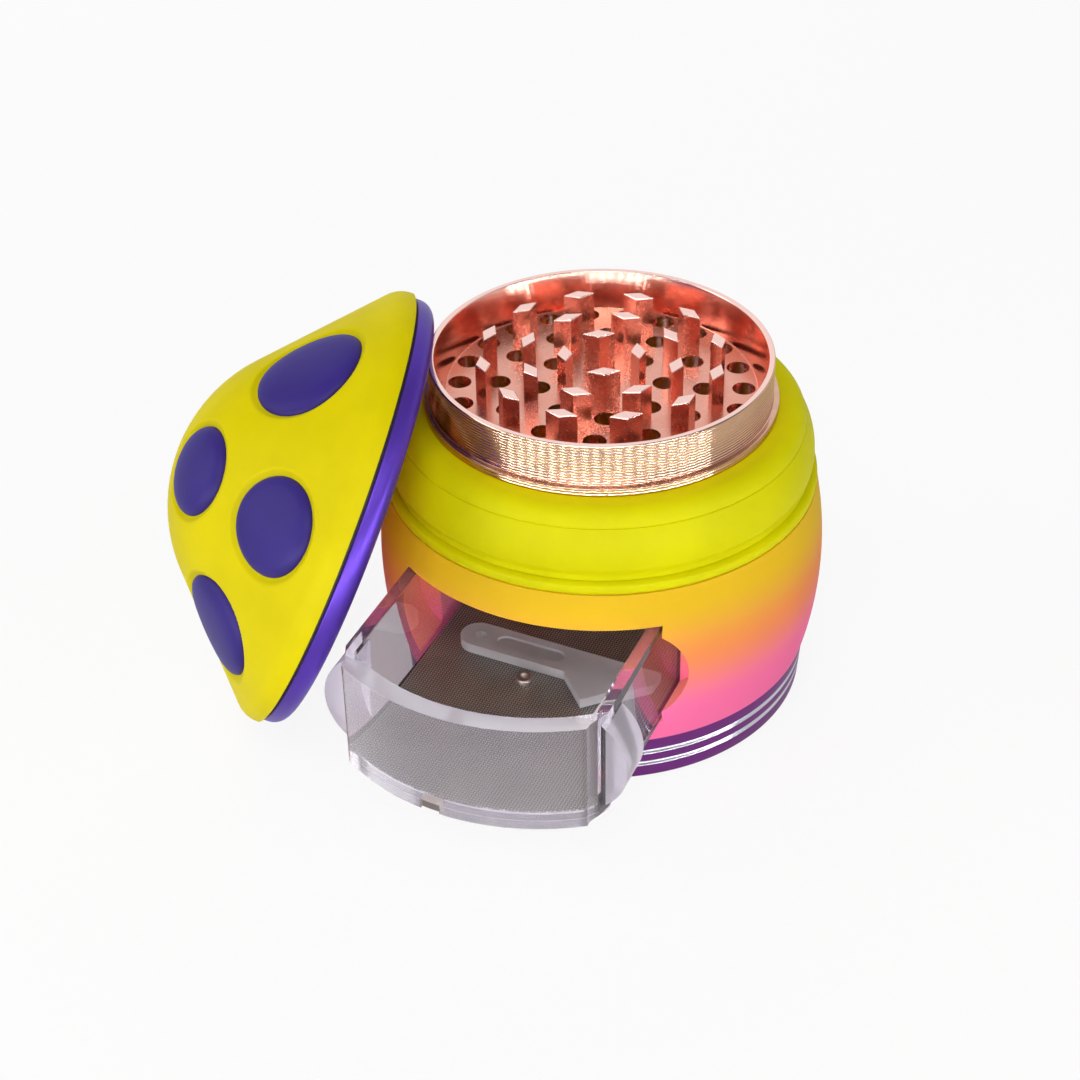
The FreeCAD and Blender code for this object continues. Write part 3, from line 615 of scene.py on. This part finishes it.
def joined(parts):
    """Several surfaces as one set of points and faces."""
    points = []
    faces = []
    start = 0
    for some, those in parts:
        points.append(some)
        faces += [[start + k for k in face] for face in those]
        start += len(some)
    return np.concatenate(points), faces


def turned_copies(part, first, count):
    """Copies of a surface, evenly spaced round Z from an angle on."""
    points, faces = part
    copies = []
    for step in range(count):
        a = math.radians(first + step * 360.0 / count)
        c, s = math.cos(a), math.sin(a)
        copies.append((points @ np.array([[c, s, 0], [-s, c, 0], [0, 0, 1]]), faces))
    return copies


def placed(name, data):
    """New object in the scene."""
    thing = bpy.data.objects.new(name, data)
    bpy.context.scene.collection.objects.link(thing)
    return thing


def solid(name, part, sharp=SHARP):
    """Mesh object in metres from points in millimetres: doubles merged, faces outward."""
    points, faces = part
    mesh = bpy.data.meshes.new(name)
    mesh.from_pydata((np.asarray(points) * MM).tolist(), [], faces)
    work = bmesh.new()
    work.from_mesh(mesh)
    bmesh.ops.remove_doubles(work, verts=work.verts, dist=1e-7)
    bmesh.ops.dissolve_degenerate(work, edges=work.edges, dist=1e-8)
    bmesh.ops.recalc_face_normals(work, faces=work.faces)
    work.to_mesh(mesh)
    work.free()
    smooth(mesh, sharp)
    return placed(name, mesh)


def smooth(mesh, sharp):
    """Smooth shading, with edges over that angle kept sharp."""
    mesh.shade_smooth()
    mesh.set_sharp_from_angle(angle=math.radians(sharp))


def carve(thing, part, operation="DIFFERENCE"):
    """Difference or union with a closed surface."""
    tool = solid("tool", part)
    change = thing.modifiers.new(operation, "BOOLEAN")
    change.operation = operation
    change.solver = "EXACT"
    change.object = tool
    bpy.context.view_layer.update()
    shown = thing.evaluated_get(bpy.context.evaluated_depsgraph_get())
    made = bpy.data.meshes.new_from_object(shown)
    thing.modifiers.clear()
    made.name = thing.name
    old, thing.data = thing.data, made
    bpy.data.meshes.remove(old)
    bpy.data.objects.remove(tool, do_unlink=True)
    if not made.polygons:
        raise RuntimeError("%s is empty after a %s" % (thing.name, operation))
    smooth(made, SHARP)


def carve_ears(thing, radius, ends, operation="DIFFERENCE"):
    """Cuts or adds the drawer's two round ears between their ends along Y."""
    for x in (-EAR_X, EAR_X):
        ear = circle((x, (DRAWER_LOW + DRAWER_TOP) / 2), radius - HAIR, 96)
        carve(thing, prism(ear, *ends, 1), operation)


def bevel(thing, width):
    """Narrow round on the sharp edges."""
    edge = thing.modifiers.new("edge_round", "BEVEL")
    edge.width = width
    edge.segments = 2
    edge.limit_method = "ANGLE"
    edge.angle_limit = math.radians(SHARP)
    edge.harden_normals = True


def wear(thing, material):
    """Gives a mesh object one material."""
    thing.data.materials.clear()
    thing.data.materials.append(material)


def finish_piece(thing, material, body, slot, *nodes):
    """Gives a piece its material, and makes it stand for its nodes on their body; the slot is not used."""
    wear(thing, material)
    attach(thing, body)
    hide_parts(*nodes)


def dress(material, *nodes):
    """Gives nodes of the frame a material."""
    for node in nodes:
        wear(frame["nodes"][node], material)


def cap_axes():
    """The cap's mouth centre in millimetres, and its uphill, sideways and outward axes as rows."""
    joint = next(j for j in frame["joints"] if j["name"] == "cap_turn")
    out = Vector(joint["axis"]).normalized()
    up = Vector((0, 0, 1))
    uphill = (up - out * up.dot(out)).normalized()
    return np.array(joint["pos_m"]) / MM, np.array([uphill, out.cross(uphill), out])


def leaning(part):
    """A surface taken from the cap's own frame to where the cap leans."""
    points, faces = part
    centre, axes = cap_axes()
    return points @ axes + centre, faces


def cap_outline(offset, steps):
    """Cap's half outline from the apex to the seam: top ball, straight flank, edge round and a short drop."""
    slope = math.degrees(SLOPE)
    top = arc((0, BALL_Z), CAP_TOP_RADIUS + offset, 90, slope, steps)
    edge = arc(EDGE_CENTRE, CAP_EDGE_ROUND + offset, slope, 0, 12)
    t = np.linspace(0, 1, steps)[1:-1, None]
    flank = (1 - t) * top[-1] + t * edge[0]
    foot = np.array([[CAP_RADIUS + offset, SEAM_Z]])
    return np.concatenate([top, flank, edge, foot])


def cap_height(points):
    """Distance of points from the shell's surface: from the ball, the flank's cone or the edge round."""
    r = np.hypot(points[..., 0], points[..., 1])
    z = points[..., 2]
    ball = np.hypot(r, z - BALL_Z) - CAP_TOP_RADIUS
    edge = np.hypot(r - EDGE_CENTRE[0], z - EDGE_CENTRE[1]) - CAP_EDGE_ROUND
    flank = (r - CAP_RADIUS) * math.cos(SLOPE) + (z - SEAM_Z - CAP_EDGE) * math.sin(SLOPE)
    on_ball = np.arctan2(z - BALL_Z, r) > SLOPE
    on_edge = np.arctan2(z - EDGE_CENTRE[1], r - EDGE_CENTRE[0]) < SLOPE
    return np.where(on_ball, ball, np.where(on_edge, edge, flank))


def spot_axes(spot):
    """A spot's foot point on the shell, and its axes as rows: two across it and the outward one."""
    angle, radius, _ = spot
    c, s = math.cos(math.radians(angle)), math.sin(math.radians(angle))
    if radius > CAP_TOP_RADIUS * math.cos(SLOPE):
        rise = SLOPE
        z = SEAM_Z + CAP_EDGE + (CAP_RADIUS - radius) / math.tan(SLOPE)
    else:
        rise = math.acos(radius / CAP_TOP_RADIUS)
        z = BALL_Z + CAP_TOP_RADIUS * math.sin(rise)
    out = np.array([math.cos(rise) * c, math.cos(rise) * s, math.sin(rise)])
    round_axis = np.array([-s, c, 0.0])
    foot = np.array([radius * c, radius * s, z])
    return foot, np.array([round_axis, np.cross(out, round_axis), out])


def rise_between(low, high, value):
    """Smooth rise from 0 at low to 1 at high."""
    t = np.clip((value - low) / (high - low), 0, 1)
    return t * t * (3 - 2 * t)


class GrinderPiece:
    """Shared part of the operators that build pieces."""
    bl_options = {"REGISTER", "UNDO"}

    def settings(self, context):
        """Sizes and colours of the scene."""
        return context.scene.grinder_sizes, context.scene.grinder_colours


class GRINDER_OT_base(GrinderPiece, bpy.types.Operator):
    """Purple base cup with two bright cut rings"""
    bl_idname = "grinder.base"
    bl_label = "Base cup"

    def execute(self, context):
        colours = self.settings(context)[1]
        slant = (BASE_RADIUS - FOOT_RADIUS) / BASE_HEIGHT
        outside = [(0, 0), (FOOT_RADIUS - BASE_CHAMFER, 0),
                   (FOOT_RADIUS + BASE_CHAMFER * slant, BASE_CHAMFER)]
        for ring in CUT_RINGS:
            for z, depth in ((ring - CUT_HEIGHT / 2, 0), (ring, CUT_DEPTH), (ring + CUT_HEIGHT / 2, 0)):
                outside.append((FOOT_RADIUS + z * slant - depth, z))
        outside += [(BASE_RADIUS, BASE_HEIGHT), (SOCKET_RADIUS, BASE_HEIGHT), (SOCKET_RADIUS, BASE_FLOOR),
                    (0, BASE_FLOOR)]
        cup = solid("base_body", lathe(rounded(outside, CUT_ROUND, 4), False))
        finish_piece(cup, base_anodised(colours), "base", "base_purple", "base_cup")
        return {"FINISHED"}


class GRINDER_OT_barrel(GrinderPiece, bpy.types.Operator):
    """Bulged barrel with the drawer's channel and round scoops"""
    bl_idname = "grinder.barrel"
    bl_label = "Barrel"

    def execute(self, context):
        colours = self.settings(context)[1]
        bulge = arc_through((BARREL_FOOT_RADIUS, BASE_HEIGHT), (BARREL_RADIUS, BARREL_WIDEST),
                            (BARREL_TOP_RADIUS, BARREL_TOP), 40)
        outside = [(CHUTE_RADIUS, BASE_HEIGHT), (WELL_RADIUS, BASE_HEIGHT), (WELL_RADIUS, BARREL_LOW),
                   (SPIGOT_RADIUS, BARREL_LOW), (SPIGOT_RADIUS, BASE_HEIGHT)]
        inside = [(COLLAR_SOCKET, BARREL_TOP), (COLLAR_SOCKET, COLLAR_SOCKET_Z),
                  (CHUTE_RADIUS, COLLAR_SOCKET_Z)]
        barrel = solid("barrel_body", lathe(np.concatenate([outside, bulge, inside])))
        ahead = -2 * BARREL_RADIUS
        channel = rectangle(-CHANNEL_HALF, ahead, CHANNEL_HALF, CHANNEL_BACK)
        carve(barrel, prism(channel, *CHANNEL_Z))
        carve_ears(barrel, EAR_RADIUS + SLIDE_GAP, (ahead, SCOOP_BACK))
        finish_piece(barrel, barrel_paint(colours), "body", "barrel_sunset", "barrel")
        return {"FINISHED"}


class GRINDER_OT_collar(GrinderPiece, bpy.types.Operator):
    """Lime-yellow stepped collar"""
    bl_idname = "grinder.collar"
    bl_label = "Collar"

    def execute(self, context):
        sizes, colours = self.settings(context)
        edge = sizes.edge_round / MM
        bulge = arc_through((BULGE_FOOT_RADIUS, BULGE_FOOT), (BULGE_RADIUS, (BULGE_FOOT + CREASE_Z) / 2),
                            (CREASE_RADIUS, CREASE_Z), 48)
        away = np.abs(bulge[:, 1] - BULGE_FOOT - COVE_Z)
        bulge[:, 0] -= COVE_DEPTH * rise_between(COVE_HALF, 0, away)
        half = math.sqrt(0.5)
        foot = np.array([CREASE_RADIUS - CREASE_GROOVE / 2, CREASE_Z + CREASE_GROOVE])
        ledge = np.array([LEDGE_RADIUS, COLLAR_TOP])
        shoulder = arc_through(foot, ledge + (foot - ledge) * (half, 1 - half), ledge, 16)
        groove = [(CREASE_RADIUS - CREASE_GROOVE, CREASE_Z)]
        step = BULGE_FOOT_RADIUS - LIP_STEP
        lip = rounded([(COLLAR_SPIGOT, COLLAR_LOW), (COLLAR_SPIGOT, BARREL_TOP),
                       (BARREL_TOP_RADIUS, BARREL_TOP), (BARREL_TOP_RADIUS, LIP_TOP), (step, LIP_TOP),
                       (step, BULGE_FOOT)], 2 * edge)
        inside = [(PLATE_BORE, COLLAR_TOP), (PLATE_BORE, PLATE_BORE_Z), (FUNNEL_RADIUS, PLATE_BORE_Z),
                  (CHUTE_RADIUS, COLLAR_LOW)]
        collar = solid("collar_body", lathe(np.concatenate([lip, bulge, groove, shoulder, inside])), 24)
        paint = soft_paint("collar_matte", colours.collar, 0.52)
        finish_piece(collar, paint, "body", "collar_lime", "collar")
        return {"FINISHED"}


def make_plate_rim(sizes, colours, copper):
    """Turned wall: spigot, flange and rim outside, and a polished slant inside."""
    lip = RIM_RADIUS - RIM_LIP
    wall = rounded([(FUNNEL_RADIUS, PLATE_LOW), (PLATE_SPIGOT, PLATE_LOW), (PLATE_SPIGOT, COLLAR_TOP),
                    (FLANGE_RADIUS, COLLAR_TOP), (FLANGE_RADIUS, FLANGE_TOP), (RIM_RADIUS, FLANGE_TOP),
                    (RIM_RADIUS, RIM_TOP), (lip, RIM_TOP), (DISH_RADIUS, DISH_Z + DISH_FILLET)],
                   RIM_ROUND)
    toe = DISH_RADIUS - DISH_FILLET
    bend = arc((toe, DISH_Z + DISH_FILLET), DISH_FILLET, 0, -90, 8)
    low = [(toe, DISH_Z - DISH_FILLET), (DISH_RADIUS, PLATE_UNDER), (FUNNEL_RADIUS, PLATE_UNDER)]
    rim = solid("plate_wall", lathe(np.concatenate([wall, bend[1:], low])))
    finish_piece(rim, copper, "body", "rose_copper", "plate_rim")
    rim.data.materials.append(turned_copper(colours, sizes))
    for face in rim.data.polygons:
        face.material_index = int(face.center.xy.length / MM > RIM_RADIUS - RIM_ROUND / 2)


def make_plate_floor(copper):
    """Polished floor with drop holes."""
    edge = DISH_RADIUS - FLOOR_GAP
    dish = solid("plate_dish", lathe(rectangle(0, PLATE_UNDER, edge, DISH_Z), False))
    holes = []
    for radius, count, first in PLATE_HOLES:
        hole = prism(circle((0, -radius), HOLE_RADIUS, 40), PLATE_UNDER - PAST, DISH_Z + PAST)
        holes += turned_copies(hole, first + PLATE_TURN, count)
    carve(dish, joined(holes))
    bevel(dish, HOLE_EDGE * MM)
    finish_piece(dish, copper, "body", "rose_copper", "plate_floor")


def make_teeth(sizes, copper):
    """Diamond prisms in rings, with a small flat round their tops."""
    flat = sizes.tooth_edge / MM
    teeth = []
    for radius, count, first in PLATE_TEETH:
        corners = np.array([(0, -TOOTH[1]), (TOOTH[0], 0), (0, TOOTH[1]), (-TOOTH[0], 0)])
        shrunk = corners * (1 - flat / np.array(TOOTH))
        levels = ((corners, DISH_Z - HAIR), (corners, RIM_TOP - flat), (shrunk, RIM_TOP))
        tooth = stack([np.insert(c + (0, -radius), 2, z, axis=1) for c, z in levels])
        teeth += turned_copies(tooth, first + PLATE_TURN, count)
    block = solid("plate_diamonds", joined(teeth), 20)
    finish_piece(block, copper, "body", "rose_copper", "plate_teeth")


class GRINDER_OT_plate(GrinderPiece, bpy.types.Operator):
    """Copper plate: turned rim, polished dish with drop holes, and diamond teeth"""
    bl_idname = "grinder.plate"
    bl_label = "Grinding plate"

    def execute(self, context):
        sizes, colours = self.settings(context)
        copper = polished_copper("plate_copper", colours, sizes, 0.20)
        make_plate_rim(sizes, colours, polished_copper("wall_copper", colours, sizes, 0.08))
        make_plate_floor(copper)
        make_teeth(sizes, copper)
        return {"FINISHED"}


def drawer_plan(half, radius, back, corner=(0.0, 0.0)):
    """Plan of the drawer: straight sides and back, a round front, and slanted corners if given."""
    wide, deep = corner
    x = half - wide
    angle = math.degrees(math.asin(x / radius))
    front = arc((0, FRONT_CENTRE), radius, -90 - angle, -90 + angle, 49)
    left = [(-half, back)]
    if deep:
        side = FRONT_CENTRE - math.sqrt(radius ** 2 - half ** 2)
        left += [(-half, side + deep), (-x, side)]
    right = [(-px, py) for px, py in left[::-1]]
    return np.concatenate([left, front, right])


class GRINDER_OT_drawer(GrinderPiece, bpy.types.Operator):
    """Clear drawer with a round front, half-round ears and a tab slot"""
    bl_idname = "grinder.drawer"
    bl_label = "Drawer"

    def execute(self, context):
        sizes, colours = self.settings(context)
        outer = drawer_plan(DRAWER_HALF, FRONT_RADIUS, DRAWER_BACK, CORNER)
        box = solid("drawer_body", prism(outer, DRAWER_LOW, DRAWER_TOP))
        carve_ears(box, EAR_RADIUS, EAR_Y, "UNION")
        inner = drawer_plan(DRAWER_HALF - DRAWER_WALL, FRONT_RADIUS - FRONT_WALL, DRAWER_BACK - DRAWER_WALL)
        carve(box, prism(inner, DRAWER_LOW - PAST, DRAWER_TOP + PAST))
        left, right = NOTCH_X
        slot = rectangle(left, DRAWER_FRONT - PAST, right, DRAWER_FRONT + 2 * FRONT_WALL + PAST)
        carve(box, prism(slot, DRAWER_LOW - PAST, NOTCH_TOP))
        bevel(box, sizes.drawer_edge)
        acrylic = clear_acrylic(colours)
        finish_piece(box, acrylic, "drawer", "clear_acrylic", "drawer_box")
        dress(acrylic, "mesh_frame")
        for clear in (box, frame["nodes"]["mesh_frame"]):
            clear.visible_shadow = False
        return {"FINISHED"}


def make_scraper(colours):
    """Flat handle with a round nose, an eye and a long panel, and a slanted blade."""
    half = SCRAPER_HALF
    end = SCRAPER_HANDLE + SCRAPER_BLADE
    nose = arc((half, 0), half, 90, 270, 17)
    blade = [(SCRAPER_HANDLE, -half), (SCRAPER_HANDLE + SCRAPER_FLARE, -half - SCRAPER_FLARE),
             (end, -half + SCRAPER_FLARE / 2), (end, half)]
    scraper = solid("scraper_body", prism(np.concatenate([nose, blade]), *SCRAPER_Z))
    low, high = SCRAPER_Z
    carve(scraper, prism(circle((SCRAPER_EYE_X, 0), SCRAPER_EYE, 24), low - PAST, high + PAST))
    start = SCRAPER_EYE_X + half + half / 2
    stop = SCRAPER_HANDLE - half
    panel = np.concatenate([arc((start, 0), half / 2, 90, 270, 9), arc((stop, 0), half / 2, -90, 90, 9)])
    carve(scraper, prism(panel, high - SCRAPER_PANEL, high + PAST))
    bevel(scraper, SCRAPER_EDGE * MM)
    turn = Matrix.Rotation(math.radians(SCRAPER_TURN), 4, "Z")
    scraper.data.transform(Matrix.Translation(Vector((*SCRAPER_NOSE, 0)) * MM) @ turn)
    finish_piece(scraper, frosted_plastic(colours), "scraper", "scraper_white", "scraper")


class GRINDER_OT_screen(GrinderPiece, bpy.types.Operator):
    """Woven screen, its rivet and the scraper that lies on it"""
    bl_idname = "grinder.screen"
    bl_label = "Screen, rivet and scraper"

    def execute(self, context):
        sizes, colours = self.settings(context)
        dress(woven_steel(colours, sizes), "mesh_screen")
        roll = arc((RIVET_RADIUS - RIVET_ROLL, MESH_TOP + RIVET_HEIGHT - RIVET_ROLL), RIVET_ROLL, 0, 165, 14)
        side, middle = RIVET_BOWL
        bowl = arc_through(roll[-1], (RIVET_RADIUS / 4, MESH_TOP + side), (0, MESH_TOP + middle), 8)[1:]
        low = MESH_TOP - RIVET_SINK
        profile = np.concatenate([[(0, low), (RIVET_RADIUS, low)], roll, bowl])
        points, faces = lathe(profile, False, 48)
        rivet = solid("rivet_head", (points + (*RIVET, 0), faces), 50)
        # The rivet's dark colour is partly its own tone and partly painted shade for its hollow bowl
        steel = bright_steel("rivet_steel", colours.rivet, 0.38)
        finish_piece(rivet, steel, "drawer", "steel", "mesh_rivet")
        make_scraper(colours)
        return {"FINISHED"}


def make_shell(sizes, colours):
    """Turned shell, drawn in by seat_depth inside each spot and easing out over seat_slope."""
    outer = cap_outline(0, CAP_STEPS)
    inner = cap_outline(-SHELL, 8)[::-1]
    points, faces = lathe(np.concatenate([outer, inner]), False, 2 * TURNS)
    skin = points.reshape(2 * TURNS, -1, 3)[:, :len(outer)]
    pull = np.zeros(skin.shape[:2])
    for spot in SPOTS:
        foot, axes = spot_axes(spot)
        away = (skin - foot) @ axes.T
        across = np.hypot(away[..., 0], away[..., 1])
        edge = spot[2] / 2 + sizes.seat_moat / MM
        drawn = 1 - rise_between(edge, edge + sizes.seat_slope / MM, across)
        pull = np.maximum(pull, np.where(away[..., 2] > -edge, drawn, 0))
    normal = lathe(cap_outline(1, CAP_STEPS) - outer, False, 2 * TURNS)[0].reshape(skin.shape)
    skin -= (sizes.seat_depth / MM) * pull[..., None] * normal
    shell = solid("cap_skin", leaning((points, faces)), 40)
    paint = soft_paint("cap_matte", colours.cap, 0.50)
    finish_piece(shell, paint, "cap", "cap_yellow", "cap_shell")


def make_spots(sizes, colours):
    """Pads: at a share q of the radius, the crown stands (1 - q^6)^(1/2) of its full height."""
    satin = satin_anodised("spot_satin", colours.spot, 0.42, 0.0)
    rise, sink = sizes.spot_rise / MM, sizes.spot_sink / MM
    q = np.concatenate([np.linspace(0, 0.8, 9), 1 - 0.2 * np.linspace(1, 0, 12)[1:] ** 2])
    share = np.concatenate([q, q[::-1]])
    crown = (rise + sink) * np.sqrt(np.maximum(1 - q ** 6, 0)) - sink
    height = np.tile(np.concatenate([crown, np.full(len(q), -sink)]), SPOT_TURNS)
    for number, spot in enumerate(SPOTS, 1):
        foot, axes = spot_axes(spot)
        points, faces = lathe(np.stack([share * spot[2] / 2, 0 * share], axis=1), False, SPOT_TURNS)
        points = points @ axes + foot
        for _ in range(SPOT_PASSES):
            points += (height - cap_height(points))[:, None] * axes[2]
        pad = solid("cap_pad_%d" % number, leaning((points, faces)), 50)
        finish_piece(pad, satin, "cap", "spot_purple", "cap_spot_%d" % number)


def make_cap_rim(colours):
    """Rim and core of the cap as one turned piece, and the gasket above it."""
    edge = CAP_RIM_RADIUS - CAP_RIM_ROUND
    seat, seat_z = GLIDE_SEAT
    bore, roof = CUP_SEAT
    neck = CAP_RADIUS - SHELL - CORE_GAP
    lower = arc((edge, CAP_RIM_ROUND), CAP_RIM_ROUND, -90, 0, 9)
    upper = rounded([lower[-1], (CAP_RIM_RADIUS, CAP_RIM_HEIGHT), (neck, CAP_RIM_HEIGHT)], CORE_EDGE)
    inner = cap_outline(-SHELL - CORE_GAP, 12)
    inner = inner[(inner[:, 1] < CORE_TOP) & (inner[:, 1] > CAP_RIM_HEIGHT)][::-1]
    top = [(inner[-1, 0], CORE_TOP), (0, CORE_TOP)]
    mouth = [(0, roof), (bore, roof), (bore, seat_z), (seat, seat_z), (seat, 0)]
    core = solid("cap_rim", leaning(lathe(np.concatenate([mouth, lower, upper[1:], inner, top]), False)))
    violet = satin_anodised("rim_anodised", colours.rim, 0.36, 0.5)
    finish_piece(core, violet, "cap", "core_violet", "cap_core")
    line = solid("cap_seam", leaning(lathe(rectangle(neck, CAP_RIM_HEIGHT, GASKET_RADIUS, SEAM_Z))))
    finish_piece(line, black_rubber(colours), "cap", "seal_black", "seam_gasket")


class GRINDER_OT_cap(GrinderPiece, bpy.types.Operator):
    """Cap: matte shell with soft seats, pillowed spots, black gasket and violet rim"""
    bl_idname = "grinder.cap"
    bl_label = "Cap"

    def execute(self, context):
        sizes, colours = self.settings(context)
        make_shell(sizes, colours)
        make_spots(sizes, colours)
        make_cap_rim(colours)
        return {"FINISHED"}


class GRINDER_OT_inner(GrinderPiece, bpy.types.Operator):
    """Finishes of the frame's own inner pieces: tooth cup, screws, magnets, seals, pin and glide ring"""
    bl_idname = "grinder.inner"
    bl_label = "Inner pieces"

    def execute(self, context):
        sizes, colours = self.settings(context)
        dress(polished_copper("cup_copper", colours, sizes, 0.20, True), "tooth_cup")
        dress(bright_steel("screw_steel", colours.steel, 0.25), "cap_screws", "drawer_stop_pin")
        nickel = bright_steel("magnet_nickel", scaled(colours.steel, 1.15), 0.12)
        dress(nickel, "barrel_magnet", "drawer_magnet", "plate_magnet", "cap_magnet")
        dress(black_rubber(colours), "base_seal", "collar_seal")
        dress(soft_paint("glide_nylon", colours.nylon, 0.45), "glide_ring")
        return {"FINISHED"}


def aimed(name, data, place, target):
    """Object with that data at a place, facing a target, both in millimetres."""
    thing = placed(name, data)
    thing.location = Vector(place) * MM
    thing.rotation_euler = (Vector(target) - Vector(place)).to_track_quat("-Z", "Y").to_euler()
    return thing


def make_lamp(name, place, target, size, watts, mirrored, lights=True):
    """Rectangular lamp: mirrored shows it in bright metal, and lights lets it light matte faces."""
    data = bpy.data.lights.new(name, "AREA")
    data.shape = "RECTANGLE"
    data.size, data.size_y = (v * MM for v in size)
    data.energy = watts
    thing = aimed(name, data, place, target)
    thing.visible_camera = False
    thing.visible_glossy = mirrored
    thing.visible_diffuse = lights


def make_floor(colours):
    """Wide floor just under the base, lifted to white where it is seen, with the shadow kept."""
    floor = solid("floor", prism(rectangle(-FLOOR_HALF, -FLOOR_HALF, FLOOR_HALF, FLOOR_HALF), *FLOOR_Z))
    finish = Finish("pale_floor")
    sheen = finish.noise(40.0)
    shaded = finish.principled(Base_Color=rgba(colours.floor), Roughness=0.75 + 0.1 * sheen)
    white = finish.node("ShaderNodeEmission", {"Color": (1.0, 1.0, 1.0, 1.0), "Strength": 1.0})
    camera, glossy, through = rays(finish)
    lift = (0.88 * camera).most((0.45 * glossy).most(0.2 * through))
    mixed = finish.node("ShaderNodeMixShader", {0: lift, 1: shaded, 2: white})
    wear(floor, finish.made(mixed))


def rays(finish):
    """1 where the camera, a reflection or a clear piece looks at a surface, as three wires."""
    return [finish.node("ShaderNodeLightPath", out="Is %s Ray" % kind)
            for kind in ("Camera", "Glossy", "Transmission")]


def make_world(context):
    """White surroundings where they are seen, and a plain level of soft light elsewhere."""
    finish = Finish("studio", bpy.data.worlds.new("studio"))
    finish.place = finish.node("ShaderNodeTexCoord", out="Generated")
    x, y, z = finish.axes()
    dim = z.step(0.15, 0.5) * (1 - (0.8 * y - 0.6 * x).step(-0.1, 0.6))
    camera, glossy, through = rays(finish)
    level = 0.13 + 0.87 * camera.most(glossy).most(through) - 0.75 * glossy * (1 - camera) * dim
    light = finish.node("ShaderNodeBackground", {"Color": (1.0, 1.0, 1.0, 1.0), "Strength": level})
    context.scene.world = finish.made(light, "ShaderNodeOutputWorld")


def make_camera(context):
    """Camera at the photograph's angle and distance."""
    a = math.radians(CAMERA_AZIMUTH)
    e = math.radians(CAMERA_ELEVATION)
    back = Vector((math.sin(a) * math.cos(e), -math.cos(a) * math.cos(e), math.sin(e)))
    data = bpy.data.cameras.new("camera")
    data.lens = CAMERA_LENS
    data.sensor_width = 36.0
    data.shift_x = CAMERA_SHIFT_X
    data.clip_start = 0.01
    target = Vector(CAMERA_TARGET)
    context.scene.camera = aimed("camera", data, target + back * CAMERA_DISTANCE, target)


class GRINDER_OT_stage(GrinderPiece, bpy.types.Operator):
    """Pale floor, soft studio lamps, white surroundings and the photograph's camera"""
    bl_idname = "grinder.stage"
    bl_label = "Stage"

    def execute(self, context):
        make_floor(self.settings(context)[1])
        make_world(context)
        for lamp in LAMPS:
            make_lamp(*lamp)
        first = CAMERA_AZIMUTH - 90 - STRIP_SPREAD / 2
        for step, (x, y) in enumerate(arc((0, 0), STRIP_FAR, first, first + STRIP_SPREAD, STRIPS)):
            for name, height, target, size, watts in STREAKS:
                make_lamp("%s_%d" % (name, step), (x, y, height), (0, 0, target), size, watts, True, False)
        make_camera(context)
        context.scene.view_settings.view_transform = "Standard"
        return {"FINISHED"}


PIECES = (GRINDER_OT_base, GRINDER_OT_barrel, GRINDER_OT_collar, GRINDER_OT_plate, GRINDER_OT_drawer,
          GRINDER_OT_screen, GRINDER_OT_cap, GRINDER_OT_inner, GRINDER_OT_stage)


class GRINDER_PT_panel(bpy.types.Panel):
    """Buttons and values of the grinder"""
    bl_idname = "GRINDER_PT_panel"
    bl_label = "Hand grinder"
    bl_space_type = "VIEW_3D"
    bl_region_type = "UI"
    bl_category = "Grinder"

    def draw(self, context):
        layout = self.layout
        for kind in PIECES:
            layout.operator(kind.bl_idname)
        for group in (context.scene.grinder_sizes, context.scene.grinder_colours):
            box = layout.box()
            for key in group.bl_rna.properties.keys():
                if key not in ("rna_type", "name"):
                    box.prop(group, key)


CLASSES = (GrinderSizes, GrinderColours, *PIECES, GRINDER_PT_panel)


def register():
    """Registers the classes and hangs the two property groups on the scene."""
    for kind in CLASSES:
        bpy.utils.register_class(kind)
    bpy.types.Scene.grinder_sizes = bpy.props.PointerProperty(type=GrinderSizes)
    bpy.types.Scene.grinder_colours = bpy.props.PointerProperty(type=GrinderColours)


def unregister():
    """Takes the property groups and classes away again."""
    del bpy.types.Scene.grinder_colours
    del bpy.types.Scene.grinder_sizes
    for kind in reversed(CLASSES):
        bpy.utils.unregister_class(kind)


def main():
    """Builds every piece and the stage."""
    register()
    for kind in PIECES:
        group, name = kind.bl_idname.split(".")
        getattr(getattr(bpy.ops, group), name)()


if __name__ == "__main__":
    main()
